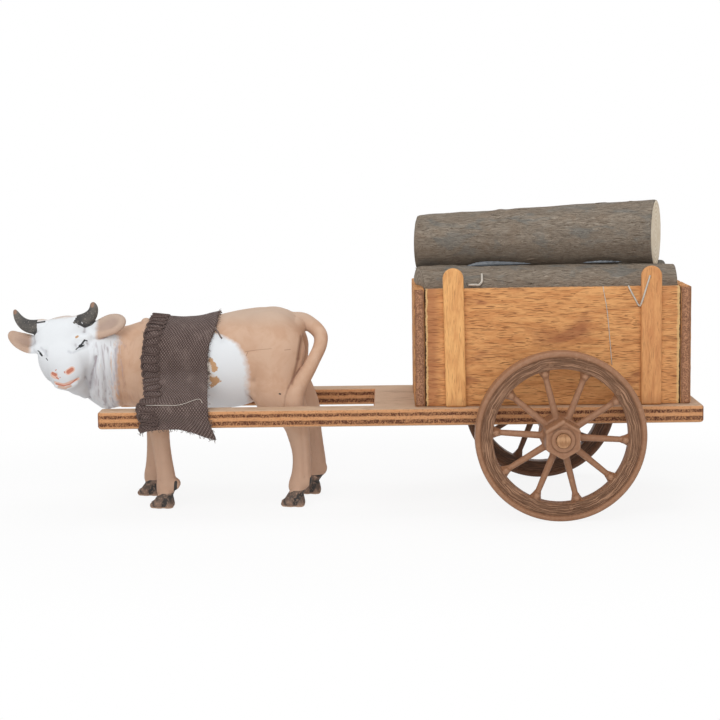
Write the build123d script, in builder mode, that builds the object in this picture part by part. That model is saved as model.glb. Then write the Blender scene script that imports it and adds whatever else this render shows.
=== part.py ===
"""Toy bullock cart: a plywood fork with a log-loaded box on two moulded spoked wheels, and its moulded ox.

The ox stands between the shafts, which are one piece with the deck, and a cloth band over its back
holds them up. All sizes are millimetres. +X points to the cart's tail, +Y to the side away from the
ox's turned head, +Z up. The origin is on the ground, in the middle of the whole toy's length.
"""

import os
from math import cos, radians, sin, sqrt

from build123d import *

os.makedirs("parts", exist_ok=True)

# Wheels and axle
WHEEL_R = 24.0
RIM_WIDTH = 4.6
RIM_INNER_R = 19.0
LIP_WIDTH = 1.4
LIP_HEIGHT = 0.5
SPOKE_COUNT = 10
SPOKE_PHASE = -4.0
SPOKE_HUB_R = 1.05
SPOKE_RIM_R = 0.7
SOCKET_R = 1.5
SOCKET_HEIGHT = 1.5
COLLAR_R = 5.6
COLLAR_LENGTH = 8.6
COLLAR_EDGE = 0.4
NAVE_R = 5.5
NAVE_NOSE_R = 4.7
NAVE_LENGTH = 15.4
NAVE_BOSS_R = 3.1
NAVE_BOSS_HEIGHT = 0.5
AXLE_R = 2.0
AXLE_RUN = 0.05
AXLE_END = 0.6
WHEEL_SIDE_GAP = 0.5
RIM_SETBACK = 5.0

# Plywood deck with its two shafts
DECK_THICKNESS = 5.0
DECK_LENGTH = 173.0
DECK_WIDTH = 50.0
DECK_REAR_X = 100.8
DECK_EDGE_R = 0.8
DECK_CORNER_R = 1.5
SHAFT_WIDTH = 7.6
SLOT_LENGTH = 79.0

# Box of thin plywood
BOX_LENGTH = 78.8
BOX_WIDTH = 43.0
BOX_WALL = 3.0
BOX_HEIGHT = 33.8
BOX_REAR_MARGIN = 3.3
AXLE_FROM_REAR = 41.6

# Stakes cut from round-ended sticks
STAKE_WIDTH = 6.0
STAKE_THICKNESS = 1.8
STAKE_LENGTH = 39.8
STAKE_FRONT_SETBACK = 11.8
STAKE_REAR_SETBACK = 11.5
STAKE_LEAN = 1.0

# Logs
LOG_GAP = 0.15
LOG_SIDE_GAP = 0.8
LOG_BED = (BOX_WIDTH - 2 * BOX_WALL) / 4
LOG_LOW_SLACK = 0.85
LOG_MIDDLE_SLACK = 3.65
LOG_HIGH_FRONT_SLACK = 0.45
LOG_HIGH_REAR_SLACK = 0.65
LOG_LOW_R = LOG_BED - LOG_LOW_SLACK
LOG_MIDDLE_R = LOG_BED - LOG_MIDDLE_SLACK
LOG_HIGH_FRONT_R = LOG_BED - LOG_HIGH_FRONT_SLACK
LOG_HIGH_REAR_R = LOG_BED - LOG_HIGH_REAR_SLACK
LOG_TOP_FRONT_R = 8.2
LOG_TOP_REAR_R = 9.7
LOG_TOP_LENGTH = 73.2
LOG_TOP_SHIFT = -2.4

# Ox: the deck length and the shaft ends' X that its tables are drawn for
OX_DECK_LENGTH = 173.0
OX_SHAFT_X = -72.2

# Cloth band
CLOTH_THICKNESS = 0.8
CLOTH_WIDTH = 20.0
CLOTH_SETBACK = 11.2
CLOTH_DROP = 2.6
CLOTH_CLEAR = 0.1

# Places that follow from the sizes
DECK_BOTTOM_Z = WHEEL_R + AXLE_R
DECK_TOP_Z = DECK_BOTTOM_Z + DECK_THICKNESS
DECK_FRONT_X = DECK_REAR_X - DECK_LENGTH
SLOT_WIDTH = DECK_WIDTH - 2 * SHAFT_WIDTH
SLOT_REAR_X = DECK_FRONT_X + SLOT_LENGTH
OX_SCALE = DECK_LENGTH / OX_DECK_LENGTH
CLOTH_FRONT_X = DECK_FRONT_X + CLOTH_SETBACK * OX_SCALE
AXLE_X = DECK_REAR_X - AXLE_FROM_REAR
BOX_REAR_X = DECK_REAR_X - BOX_REAR_MARGIN
BOX_FRONT_X = BOX_REAR_X - BOX_LENGTH
BOX_MIDDLE_X = (BOX_FRONT_X + BOX_REAR_X) / 2
BOX_TOP_Z = DECK_TOP_Z + BOX_HEIGHT
NAVE_INNER_Y = DECK_WIDTH / 2 + WHEEL_SIDE_GAP
RIM_INNER_Y = NAVE_INNER_Y + RIM_SETBACK
AXLE_HALF = NAVE_INNER_Y + NAVE_LENGTH + NAVE_BOSS_HEIGHT + AXLE_END
SIDES = {"near": -1, "far": 1}


def keep(part, name):
    """Labels one finished piece and writes it."""
    part.label = name
    export_step(part, f"parts/{name}.step")


def side_view(x, y, z):
    """Plane drawn in side view: its X runs to the tail, its Y up, and it faces the near side."""
    return Plane(origin=(x, y, z), x_dir=(1, 0, 0), z_dir=(0, -1, 0))


# Deck: one plate, its front slot leaves the two shafts
with BuildPart() as deck:
    with BuildSketch(Plane.XY.offset(DECK_BOTTOM_Z)) as deck_outline:
        with Locations((DECK_REAR_X - DECK_LENGTH / 2, 0)):
            Rectangle(DECK_LENGTH, DECK_WIDTH)
        with Locations((DECK_FRONT_X + SLOT_LENGTH / 2, 0)):
            Rectangle(SLOT_LENGTH, SLOT_WIDTH, mode=Mode.SUBTRACT)
        outer = deck_outline.vertices().filter_by(lambda v: abs(v.Y) > DECK_WIDTH / 2 - 0.01)
        fillet(outer, DECK_CORNER_R)
    extrude(amount=DECK_THICKNESS)
    fillet(deck.faces().filter_by(Axis.Z).edges(), DECK_EDGE_R)
keep(deck.part, "deck")

# Axle dowel, glued under the deck
with BuildPart() as axle:
    with BuildSketch(side_view(AXLE_X, AXLE_HALF, WHEEL_R)):
        Circle(AXLE_R)
    extrude(amount=2 * AXLE_HALF)
    chamfer(axle.edges().filter_by(GeomType.CIRCLE), 0.2)
keep(axle.part, "axle_dowel")

# Wheels: rim with a raised lip, tapered spokes in round sockets, six-sided nave
for side_name, side in SIDES.items():
    out = Plane(origin=(AXLE_X, 0, WHEEL_R), x_dir=(1, 0, 0), z_dir=(0, side, 0))
    middle_y = RIM_INNER_Y + RIM_WIDTH / 2
    with BuildPart() as wheel:
        with BuildSketch(out.offset(RIM_INNER_Y)):
            Circle(WHEEL_R)
            Circle(RIM_INNER_R, mode=Mode.SUBTRACT)
        extrude(amount=RIM_WIDTH)
        for face_y in (RIM_INNER_Y - LIP_HEIGHT, RIM_INNER_Y + RIM_WIDTH):
            with BuildSketch(out.offset(face_y)):
                Circle(WHEEL_R)
                Circle(WHEEL_R - LIP_WIDTH, mode=Mode.SUBTRACT)
            extrude(amount=LIP_HEIGHT)
        with BuildSketch(out.offset(NAVE_INNER_Y)):
            Circle(COLLAR_R)
        extrude(amount=COLLAR_LENGTH)
        collar_ends = wheel.faces().filter_by(Plane.XZ).filter_by(lambda f: f.area < 4 * COLLAR_R**2)
        chamfer(collar_ends.edges(), COLLAR_EDGE)
        with BuildSketch(out.offset(NAVE_INNER_Y + COLLAR_LENGTH - 1)):
            RegularPolygon(NAVE_R, 6, rotation=30)
        with BuildSketch(out.offset(NAVE_INNER_Y + NAVE_LENGTH)):
            RegularPolygon(NAVE_NOSE_R, 6, rotation=30)
        loft()
        with BuildSketch(out.offset(NAVE_INNER_Y + NAVE_LENGTH)):
            Circle(NAVE_BOSS_R)
        extrude(amount=NAVE_BOSS_HEIGHT)
        for number in range(SPOKE_COUNT):
            angle = radians(SPOKE_PHASE + 360 / SPOKE_COUNT * number)
            ray = Vector(cos(angle), 0, sin(angle))
            hub_centre = Vector(AXLE_X, side * middle_y, WHEEL_R)
            root = Plane(origin=hub_centre + ray * (NAVE_NOSE_R - 1), z_dir=ray)
            reach = RIM_INNER_R - NAVE_NOSE_R + 1.5
            with BuildSketch(root):
                Circle(SPOKE_HUB_R)
            with BuildSketch(root.offset(reach)):
                Circle(SPOKE_RIM_R)
            loft()
            seat = Plane(origin=hub_centre + ray * (RIM_INNER_R + 0.3), z_dir=-ray)
            with BuildSketch(seat):
                Circle(SOCKET_R)
            extrude(amount=SOCKET_HEIGHT + 0.3, taper=14)
        with BuildSketch(out.offset(NAVE_INNER_Y - 1)):
            Circle(AXLE_R + AXLE_RUN)
        extrude(amount=NAVE_LENGTH + NAVE_BOSS_HEIGHT + 2, mode=Mode.SUBTRACT)
    keep(wheel.part, f"wheel_{side_name}")

# Box: long sides between two end boards that show their edges at the sides
for side_name, side in SIDES.items():
    with BuildPart() as box_side:
        with BuildSketch(Plane.XY.offset(DECK_TOP_Z)):
            with Locations((BOX_MIDDLE_X, side * (BOX_WIDTH - BOX_WALL) / 2)):
                Rectangle(BOX_LENGTH - 2 * BOX_WALL, BOX_WALL)
        extrude(amount=BOX_HEIGHT)
        chamfer(box_side.faces().sort_by(Axis.Z)[-1].edges().filter_by(Axis.X), 0.3)
    keep(box_side.part, f"box_side_{side_name}")

for end_name, end_x in (("front", BOX_FRONT_X), ("rear", BOX_REAR_X - BOX_WALL)):
    with BuildPart() as box_end:
        with BuildSketch(Plane.XY.offset(DECK_TOP_Z)):
            with Locations((end_x + BOX_WALL / 2, 0)):
                Rectangle(BOX_WALL, BOX_WIDTH)
        extrude(amount=BOX_HEIGHT)
        chamfer(box_end.faces().sort_by(Axis.Z)[-1].edges().filter_by(Axis.Y), 0.3)
    keep(box_end.part, f"box_end_{end_name}")

# Stakes: round-ended sticks that stand on the deck against the box sides
STAKES = (
    # end, middle x, lean in degrees
    ("front", BOX_FRONT_X + STAKE_FRONT_SETBACK, STAKE_LEAN),
    ("rear", BOX_REAR_X - STAKE_REAR_SETBACK, 0.0),
)
for side_name, side in SIDES.items():
    near_face_y = side * BOX_WIDTH / 2 - (STAKE_THICKNESS if side < 0 else 0)
    for end_name, stake_x, lean in STAKES:
        half = STAKE_WIDTH / 2
        foot = half * sin(radians(lean))
        with BuildPart() as stake:
            with BuildSketch(side_view(stake_x, near_face_y, DECK_TOP_Z)):
                with BuildLine(Rot(0, 0, lean)):
                    Polyline((-half, STAKE_LENGTH - half), (-half, foot), (half, -foot),
                             (half, STAKE_LENGTH - half))
                    ThreePointArc((half, STAKE_LENGTH - half), (0, STAKE_LENGTH),
                                  (-half, STAKE_LENGTH - half))
                make_face()
            extrude(amount=-STAKE_THICKNESS)
        keep(stake.part, f"stake_{side_name}_{end_name}")

# Logs: tapered round billets, the lowest on the deck, each next in the hollow between those below
LOG_LENGTH = BOX_LENGTH - 2 * BOX_WALL - 2 * LOG_GAP
SPREAD_Y = BOX_WIDTH / 2 - BOX_WALL - LOG_HIGH_FRONT_R - LOG_SIDE_GAP
LOW_Z = DECK_TOP_Z + LOG_LOW_R + LOG_GAP


def resting_on(lower_z, lower_r, upper_r):
    """Height of a log's axis where it and its lower neighbour touch, SPREAD_Y apart across the box."""
    return lower_z + sqrt((lower_r + upper_r + LOG_GAP) ** 2 - SPREAD_Y**2)


MIDDLE_Z = resting_on(LOW_Z, LOG_LOW_R, LOG_MIDDLE_R)
HIGH_FRONT_Z = resting_on(MIDDLE_Z, LOG_MIDDLE_R, LOG_HIGH_FRONT_R)
HIGH_REAR_Z = resting_on(MIDDLE_Z, LOG_MIDDLE_R, LOG_HIGH_REAR_R)
TOP_ON_LOGS_Z = resting_on(HIGH_FRONT_Z, LOG_HIGH_FRONT_R, LOG_TOP_FRONT_R)
TOP_ON_BOARD_Z = BOX_TOP_Z + LOG_TOP_FRONT_R + LOG_GAP
TOP_FRONT_Z = max(TOP_ON_LOGS_Z, TOP_ON_BOARD_Z)
TOP_REAR_Z = resting_on(HIGH_REAR_Z, LOG_HIGH_REAR_R, LOG_TOP_REAR_R)
LOGS = (
    # name, shift in x, y, front z, rear z, front radius, rear radius, length
    ("low_near", 0, -SPREAD_Y, LOW_Z, LOW_Z, LOG_LOW_R, LOG_LOW_R, LOG_LENGTH),
    ("low_far", 0, SPREAD_Y, LOW_Z, LOW_Z, LOG_LOW_R, LOG_LOW_R, LOG_LENGTH),
    ("middle", 0, 0, MIDDLE_Z, MIDDLE_Z, LOG_MIDDLE_R, LOG_MIDDLE_R, LOG_LENGTH),
    ("high_near", 0, -SPREAD_Y, HIGH_FRONT_Z, HIGH_REAR_Z, LOG_HIGH_FRONT_R, LOG_HIGH_REAR_R, LOG_LENGTH),
    ("high_far", 0, SPREAD_Y, HIGH_FRONT_Z, HIGH_REAR_Z, LOG_HIGH_FRONT_R, LOG_HIGH_REAR_R, LOG_LENGTH),
    ("top", LOG_TOP_SHIFT, 0, TOP_FRONT_Z, TOP_REAR_Z, LOG_TOP_FRONT_R, LOG_TOP_REAR_R, LOG_TOP_LENGTH),
)
for log_name, shift, log_y, front_z, rear_z, front_r, rear_r, length in LOGS:
    front_x = BOX_MIDDLE_X + shift - length / 2
    with BuildPart() as log:
        with BuildSketch(Plane(origin=(front_x, log_y, front_z), z_dir=(1, 0, 0))):
            Circle(front_r)
        with BuildSketch(Plane(origin=(front_x + length, log_y, rear_z), z_dir=(1, 0, 0))):
            Circle(rear_r)
        loft()
    keep(log.part, f"log_{log_name}")

# Ox: one moulded figure. Each table row is an oval section: its middle, the way it faces, and its half axes.
# The tables hold for OX_SCALE 1; another deck length moves and scales the ox with its shafts.
TRUNK = (
    # x, middle z, half width, half height
    (-68.0, 41.5, 7.0, 8.5),
    (-65.0, 41.2, 9.4, 11.2),
    (-61.5, 41.4, 11.2, 12.8),
    (-57.0, 41.6, 12.0, 13.4),
    (-51.0, 41.6, 12.5, 13.1),
    (-45.0, 42.0, 12.9, 13.0),
    (-39.0, 42.9, 13.2, 13.4),
    (-33.0, 44.2, 13.0, 13.4),
    (-27.0, 45.7, 12.3, 12.7),
    (-22.0, 47.6, 11.4, 10.6),
    (-18.0, 49.5, 9.6, 7.6),
    (-15.0, 51.2, 7.0, 4.3),
)
NECK = (
    # x, y, z, turn towards the near side, half width, half height
    (-64.0, 0.0, 41.0, 0.0, 9.6, 12.0),
    (-69.0, -1.6, 41.0, 14.0, 9.1, 11.3),
    (-73.0, -3.4, 41.0, 28.0, 8.4, 11.6),
    (-76.5, -6.6, 43.6, 48.0, 7.0, 10.6),
    (-80.0, -9.6, 46.4, 68.0, 6.4, 7.4),
)
HEAD_TURN = 96.0
HEAD_NOD = 39.0
HEAD_TILT = 12.0
BROW_X = -83.6
BROW_Y = -15.6
BROW_Z = 48.2
HEAD = (
    # distance along the face from the brow, offset to the face, half width, half depth
    (-11.4, -3.8, 4.8, 2.8),
    (-9.4, -3.8, 6.6, 4.4),
    (-5.6, -4.2, 7.2, 5.0),
    (-1.0, -5.6, 7.5, 6.2),
    (3.0, -5.2, 6.2, 5.8),
    (6.0, -4.6, 5.0, 4.9),
    (8.6, -4.0, 4.3, 4.0),
    (10.6, -4.2, 2.9, 2.5),
)


def head_axes():
    """Side, face-outward and poll-to-muzzle directions of the turned, nodding and tilted head."""
    look = Vector(-cos(radians(HEAD_TURN)), -sin(radians(HEAD_TURN)), 0)
    side_way = Vector(sin(radians(HEAD_TURN)), -cos(radians(HEAD_TURN)), 0)
    tilt = radians(HEAD_TILT)
    across_face = side_way * cos(tilt) + Vector(0, 0, 1) * sin(tilt)
    up = Vector(0, 0, 1) * cos(tilt) - side_way * sin(tilt)
    nod = radians(HEAD_NOD)
    down_face = look * sin(nod) - up * cos(nod)
    return across_face, down_face.cross(across_face), down_face


ACROSS, OUTWARD, DOWN = head_axes()

NEAR_EAR = (
    # x, y, z, half width
    (-90.0, -11.0, 49.0, 1.8),
    (-91.6, -10.4, 49.1, 2.5),
    (-93.7, -9.6, 49.2, 2.7),
    (-96.8, -8.4, 50.2, 2.3),
    (-98.9, -7.4, 51.3, 1.6),
    (-100.5, -6.8, 52.4, 0.6),
)
FAR_EAR = (
    (-77.4, -10.6, 53.2, 1.4),
    (-76.1, -10.3, 53.2, 1.8),
    (-73.5, -9.8, 53.3, 2.5),
    (-70.9, -9.0, 54.1, 3.0),
    (-68.5, -8.3, 54.9, 2.8),
    (-66.6, -7.7, 55.3, 1.4),
)
EAR_HALF_THICKNESS = 1.05
NEAR_HORN = (
    # x, y, z, radius
    (-88.6, -10.6, 54.4, 2.1),
    (-92.3, -10.4, 54.4, 2.0),
    (-94.8, -10.0, 54.8, 1.8),
    (-96.8, -9.6, 56.6, 1.45),
    (-98.0, -9.2, 59.3, 0.6),
)
FAR_HORN = (
    (-80.8, -9.6, 54.6, 2.1),
    (-79.2, -9.0, 55.3, 2.05),
    (-77.1, -8.9, 56.1, 1.95),
    (-75.2, -8.7, 57.6, 1.55),
    (-74.4, -8.5, 59.3, 1.15),
    (-74.5, -8.4, 61.1, 0.6),
)
TAIL = (
    (-17.5, 0.0, 54.4, 2.4),
    (-13.9, 0.0, 54.6, 2.15),
    (-11.3, -0.5, 53.4, 2.05),
    (-9.7, -1.5, 51.7, 1.95),
    (-8.9, -3.0, 49.4, 1.95),
    (-9.3, -5.0, 46.7, 1.9),
    (-10.9, -7.5, 43.5, 1.9),
    (-12.7, -9.5, 40.2, 1.95),
    (-14.5, -11.0, 37.2, 2.0),
    (-15.7, -12.0, 34.7, 2.05),
    (-16.1, -12.4, 32.1, 2.1),
    (-16.2, -12.4, 28.6, 1.7),
)
FRONT_LEG = (
    # z, y, half length, half width, near leg's x, far leg's x
    (51.0, 7.4, 3.2, 2.2, -57.0, -57.0),
    (46.0, 8.3, 6.4, 4.4, -57.2, -57.3),
    (42.0, 8.2, 6.7, 4.9, -57.4, -57.6),
    (34.0, 8.2, 4.7, 4.0, -57.0, -58.5),
    (27.0, 8.8, 3.0, 2.7, -56.8, -59.6),
    (21.0, 9.0, 2.5, 2.2, -56.4, -60.2),
    (14.0, 9.2, 2.3, 2.1, -55.6, -60.5),
    (9.0, 9.4, 2.5, 2.2, -54.8, -60.8),
    (7.0, 9.4, 3.3, 2.5, -54.1, -60.3),
    (4.8, 9.5, 2.7, 2.6, -55.1, -61.5),
    (2.4, 9.5, 3.5, 3.1, -56.0, -62.4),
    (0.0, 9.5, 4.0, 3.2, -56.2, -62.6),
)
HIND_LEG = (
    (56.0, 6.6, 4.6, 2.6, -22.5, -22.0),
    (51.0, 6.9, 8.8, 5.2, -22.8, -22.3),
    (46.0, 6.9, 9.5, 6.2, -22.9, -22.2),
    (41.0, 7.1, 8.7, 6.2, -22.8, -21.5),
    (37.5, 7.3, 7.4, 6.1, -22.3, -20.0),
    (33.5, 7.8, 6.7, 5.6, -21.8, -17.8),
    (29.5, 8.2, 5.2, 4.6, -18.6, -15.6),
    (26.0, 8.5, 3.7, 3.3, -16.6, -13.8),
    (21.0, 8.9, 2.9, 2.6, -15.5, -12.8),
    (15.5, 9.2, 2.4, 2.2, -14.7, -11.7),
    (9.6, 9.4, 2.6, 2.3, -14.8, -11.1),
    (7.6, 9.4, 3.2, 2.4, -14.3, -10.6),
    (5.2, 9.4, 2.5, 2.4, -16.1, -12.1),
    (2.6, 9.4, 3.4, 3.0, -17.1, -13.1),
    (0.0, 9.4, 3.9, 3.1, -17.3, -13.4),
)
HOOF_CLEFT = 0.7


def on_ox(x, y, z):
    """Place of a table's point, moved and scaled with the shafts."""
    return Vector(DECK_FRONT_X + (x - OX_SHAFT_X) * OX_SCALE, y * OX_SCALE, z * OX_SCALE)


def oval(half_width, half_height):
    """Oval section of the ox, scaled with the shafts."""
    return Ellipse(half_width * OX_SCALE, half_height * OX_SCALE)


BROW = on_ox(BROW_X, BROW_Y, BROW_Z)


def directions(points):
    """Unit direction at each point of a path, from its neighbours."""
    ways = []
    for number in range(len(points)):
        before, after = points[max(number - 1, 0)], points[min(number + 1, len(points) - 1)]
        ways.append((after - before).normalized())
    return ways


def limb_planes(rows, reference):
    """Section planes square to a limb's path of rows, all turned the same way round it."""
    points = [on_ox(x, y, z) for x, y, z, _ in rows]
    ways = directions(points)
    return [Plane(origin=p, x_dir=reference.cross(w), z_dir=w) for p, w in zip(points, ways)]


with BuildPart() as ox:
    for x, z, half_width, half_height in TRUNK:
        with BuildSketch(Plane(origin=on_ox(x, 0, z), x_dir=(0, 1, 0), z_dir=(1, 0, 0))):
            oval(half_width, half_height)
    loft(ruled=True)
    for x, y, z, turn, half_width, half_height in NECK:
        way = Vector(-cos(radians(turn)), -sin(radians(turn)), 0.12)
        level = Vector(0, 0, 1).cross(way)
        with BuildSketch(Plane(origin=on_ox(x, y, z), x_dir=level, z_dir=way)):
            oval(half_width, half_height)
    loft(ruled=True)
    for along, offset_out, half_width, half_depth in HEAD:
        middle = BROW + (OUTWARD * offset_out + DOWN * along) * OX_SCALE
        with BuildSketch(Plane(origin=middle, x_dir=ACROSS, z_dir=DOWN)):
            oval(half_width, half_depth)
    loft(ruled=True)
    for rows in (NEAR_EAR, FAR_EAR):
        for plane, row in zip(limb_planes(rows, OUTWARD), rows):
            with BuildSketch(plane):
                oval(row[3], min(row[3], EAR_HALF_THICKNESS))
        loft(ruled=True)
    for rows, reference in ((NEAR_HORN, OUTWARD), (FAR_HORN, OUTWARD), (TAIL, Vector(0, 1, -0.45))):
        for plane, row in zip(limb_planes(rows, reference), rows):
            with BuildSketch(plane):
                Circle(row[3] * OX_SCALE)
        loft(ruled=True)
    for side, leg in ((-1, FRONT_LEG), (1, FRONT_LEG), (-1, HIND_LEG), (1, HIND_LEG)):
        for z, y, half_length, half_width, near_x, far_x in leg:
            x = near_x if side < 0 else far_x
            with BuildSketch(Plane(origin=on_ox(x, side * y, z))):
                oval(half_length, half_width)
        loft(ruled=True)
        toe = on_ox(x - half_length, side * y, 0)
        with BuildSketch(Plane(origin=toe)):
            Rectangle(half_length * OX_SCALE, HOOF_CLEFT * OX_SCALE)
        extrude(amount=leg[-2][0] * OX_SCALE, mode=Mode.SUBTRACT)
keep(ox.part, "ox")

# Cloth band: over the ox's back, out over both shafts and down their sides
CLOTH_WAIST_Z = 41.0
CLOTH_WAIST_HALF = 13.6
CLOTH_BACK_Z = 56.2
HALF_TURN = 180

with BuildPart() as cloth:
    with BuildSketch(Plane.YZ.offset(CLOTH_FRONT_X)):
        for grow, how in ((CLOTH_THICKNESS, Mode.ADD), (0, Mode.SUBTRACT)):
            waist, back = CLOTH_WAIST_HALF * OX_SCALE + grow, CLOTH_BACK_Z * OX_SCALE + grow
            waist_z = CLOTH_WAIST_Z * OX_SCALE
            edge_y = DECK_WIDTH / 2 + CLOTH_CLEAR + grow
            edge_z = DECK_TOP_Z + CLOTH_CLEAR + grow
            hem_z = DECK_BOTTOM_Z - CLOTH_DROP
            with BuildLine():
                EllipticalCenterArc((0, waist_z), waist, back - waist_z, start_angle=0,
                                     arc_size=HALF_TURN)
                Polyline((-waist, waist_z), (-edge_y, edge_z), (-edge_y, hem_z),
                         (edge_y, hem_z), (edge_y, edge_z), (waist, waist_z))
            make_face(mode=how)
    extrude(amount=CLOTH_WIDTH * OX_SCALE)
keep(cloth.part, "cloth_band")
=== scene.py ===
"""Looks of the toy bullock cart: woods, bark, moulded wheels, painted ox figure and knitted cloth band.

Sizes in tables are millimetres in the model's own frame: +X to the cart's tail, +Y to the far side,
+Z up. Meshes are made in metres at the very end, by to_object.
"""

import logging
import math
from dataclasses import dataclass, field, replace
from enum import Enum
from typing import ClassVar

import bpy
import numpy as np
import openvdb
from mathutils import Matrix, Vector
from mathutils.bvhtree import BVHTree


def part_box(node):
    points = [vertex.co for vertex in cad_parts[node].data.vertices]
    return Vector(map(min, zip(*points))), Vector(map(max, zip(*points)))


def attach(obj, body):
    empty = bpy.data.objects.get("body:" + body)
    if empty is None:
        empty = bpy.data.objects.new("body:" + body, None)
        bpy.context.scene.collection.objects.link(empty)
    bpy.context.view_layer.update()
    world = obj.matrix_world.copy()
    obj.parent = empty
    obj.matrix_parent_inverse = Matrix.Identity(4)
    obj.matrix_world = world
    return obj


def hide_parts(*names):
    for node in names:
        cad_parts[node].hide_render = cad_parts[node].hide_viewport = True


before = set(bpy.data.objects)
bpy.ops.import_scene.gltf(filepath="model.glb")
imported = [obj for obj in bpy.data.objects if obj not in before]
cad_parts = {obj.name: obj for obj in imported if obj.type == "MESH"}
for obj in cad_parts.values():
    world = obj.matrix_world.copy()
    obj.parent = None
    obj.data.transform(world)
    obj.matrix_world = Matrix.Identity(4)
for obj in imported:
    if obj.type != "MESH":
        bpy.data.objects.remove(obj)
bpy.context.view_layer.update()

Piece = bpy.types.Object
Material = bpy.types.Material
Tree = bpy.types.NodeTree
Node = bpy.types.Node
Socket = bpy.types.NodeSocket
Array = np.ndarray
Corners = tuple[Array, Array]
Place = tuple[float, float, float]

LOG = logging.getLogger("bullock_cart")
MM = 0.001
SHEEN_ROUGHNESS = 0.6


def corners_mm(node: str) -> Corners:
    """Lowest and highest corner of a CAD node.

    Args:
        node: The node's name.

    Returns:
        The two corners in millimetres.
    """
    low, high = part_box(node)
    return np.array(low) / MM, np.array(high) / MM


WHEEL_LOW, WHEEL_HIGH = corners_mm("wheel_near")
AXLE_X = float(WHEEL_LOW[0] + WHEEL_HIGH[0]) / 2
WHEEL_R = float(WHEEL_HIGH[2] - WHEEL_LOW[2]) / 2


class Part(Enum):
    """The CAD bodies that pieces ride on."""

    CART = "cart"
    NEAR_WHEEL = "near_wheel"
    FAR_WHEEL = "far_wheel"


class Slot(Enum):
    """The record's material slots."""

    PLYWOOD = "plywood"
    BOX_WOOD = "box_wood"
    STAKE_WOOD = "stake_wood"
    DOWEL = "dowel"
    BARK = "bark"
    RESIN = "ox_resin"
    CLOTH = "cloth"
    PLASTIC = "wheel_plastic"


def paint(red: float, green: float, blue: float) -> tuple[float, float, float, float]:
    """Linear colour of a colour as seen on a screen.

    Args:
        red: Red from 0 to 255.
        green: Green from 0 to 255.
        blue: Blue from 0 to 255.

    Returns:
        The linear colour with full alpha.
    """
    linear = [c / 3294.6 if c <= 10.3 else ((c / 255 + 0.055) / 1.055) ** 2.4 for c in (red, green, blue)]
    return (*linear, 1.0)


def smooth_step(low: float, high: float, value: Array) -> Array:
    """Smooth rise from 0 at low to 1 at high."""
    t = np.clip((value - low) / (high - low), 0.0, 1.0)
    return t * t * (3 - 2 * t)


def ripples(points: Array, size: float, seed: int, octaves: int = 3) -> Array:
    """Soft random lumps made of sine waves in fixed random directions.

    Args:
        points: Places in millimetres, one to a row.
        size: Length of the largest waves in millimetres.
        seed: Seed of the directions.
        octaves: How many times the waves are halved and added again.

    Returns:
        A value for each place, about from -1 to 1.
    """
    rng = np.random.default_rng(seed)
    total = np.zeros(len(points), np.float32)
    for octave in range(octaves):
        for _ in range(5):
            way = rng.normal(size=3)
            way *= 2 * math.pi * 2**octave / (size * np.linalg.norm(way))
            total += np.sin(points @ way.astype(np.float32) + rng.uniform(0, 6.28)) * 0.5**octave
    return total / 3.2


def shade_smooth(mesh: bpy.types.Mesh) -> None:
    """Shades every face of a mesh smooth."""
    mesh.polygons.foreach_set("use_smooth", [True] * len(mesh.polygons))


def to_object(name: str, points: Array, faces: list, smooth: bool = True) -> Piece:
    """Makes a mesh object from places in millimetres.

    Args:
        name: The object's name.
        points: Places in millimetres, one to a row.
        faces: Lists of place numbers, anticlockwise from outside.
        smooth: Whether the faces are shaded smooth.

    Returns:
        The linked object, at the origin.
    """
    mesh = bpy.data.meshes.new(name)
    mesh.from_pydata((np.asarray(points, float) * MM).tolist(), [], [list(map(int, f)) for f in faces])
    mesh.validate()
    if smooth:
        shade_smooth(mesh)
    mesh.update()
    made = bpy.data.objects.new(name, mesh)
    bpy.context.scene.collection.objects.link(made)
    return made


def places_mm(piece: Piece) -> Array:
    """The piece's vertices in millimetres, one to a row."""
    flat = np.empty(len(piece.data.vertices) * 3, np.float32)
    piece.data.vertices.foreach_get("co", flat)
    return flat.reshape(-1, 3) / MM


def add_value(piece: Piece, name: str, values: Array) -> None:
    """Stores one number for each vertex.

    Args:
        piece: The object.
        name: The attribute's name.
        values: One number for each vertex.
    """
    layer = piece.data.attributes.new(name, "FLOAT", "POINT")
    layer.data.foreach_set("value", np.asarray(values, np.float32))


def dress(piece: Piece, *materials: Material) -> None:
    """Puts materials in the piece's slots, in order. Clearing them would also reset the faces' numbers."""
    if piece.data.materials:
        piece.data.materials.clear()
    for material in materials:
        piece.data.materials.append(material)


def join(name: str, pieces: list[Piece]) -> Piece:
    """Joins pieces into one mesh object and keeps their materials.

    Args:
        name: The name of the joined object.
        pieces: The pieces, which are used up.

    Returns:
        The joined object.
    """
    with bpy.context.temp_override(active_object=pieces[0], selected_editable_objects=pieces,
            object=pieces[0], selected_objects=pieces):
        bpy.ops.object.join()
    pieces[0].name = name
    return pieces[0]


def finish_piece(piece: Piece, part: Part, slot: Slot, *nodes: str) -> None:
    """Hands a piece to its body, and hides the CAD nodes that it stands for.

    Args:
        piece: The finished piece.
        part: The body that carries it.
        slot: Not used; the material slot that it takes its finish from.
        nodes: CAD nodes that it replaces.
    """
    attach(piece, part.value)
    if nodes:
        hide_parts(*nodes)
    LOG.info("%s: %d faces on %s", piece.name, len(piece.data.polygons), part.value)


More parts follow.
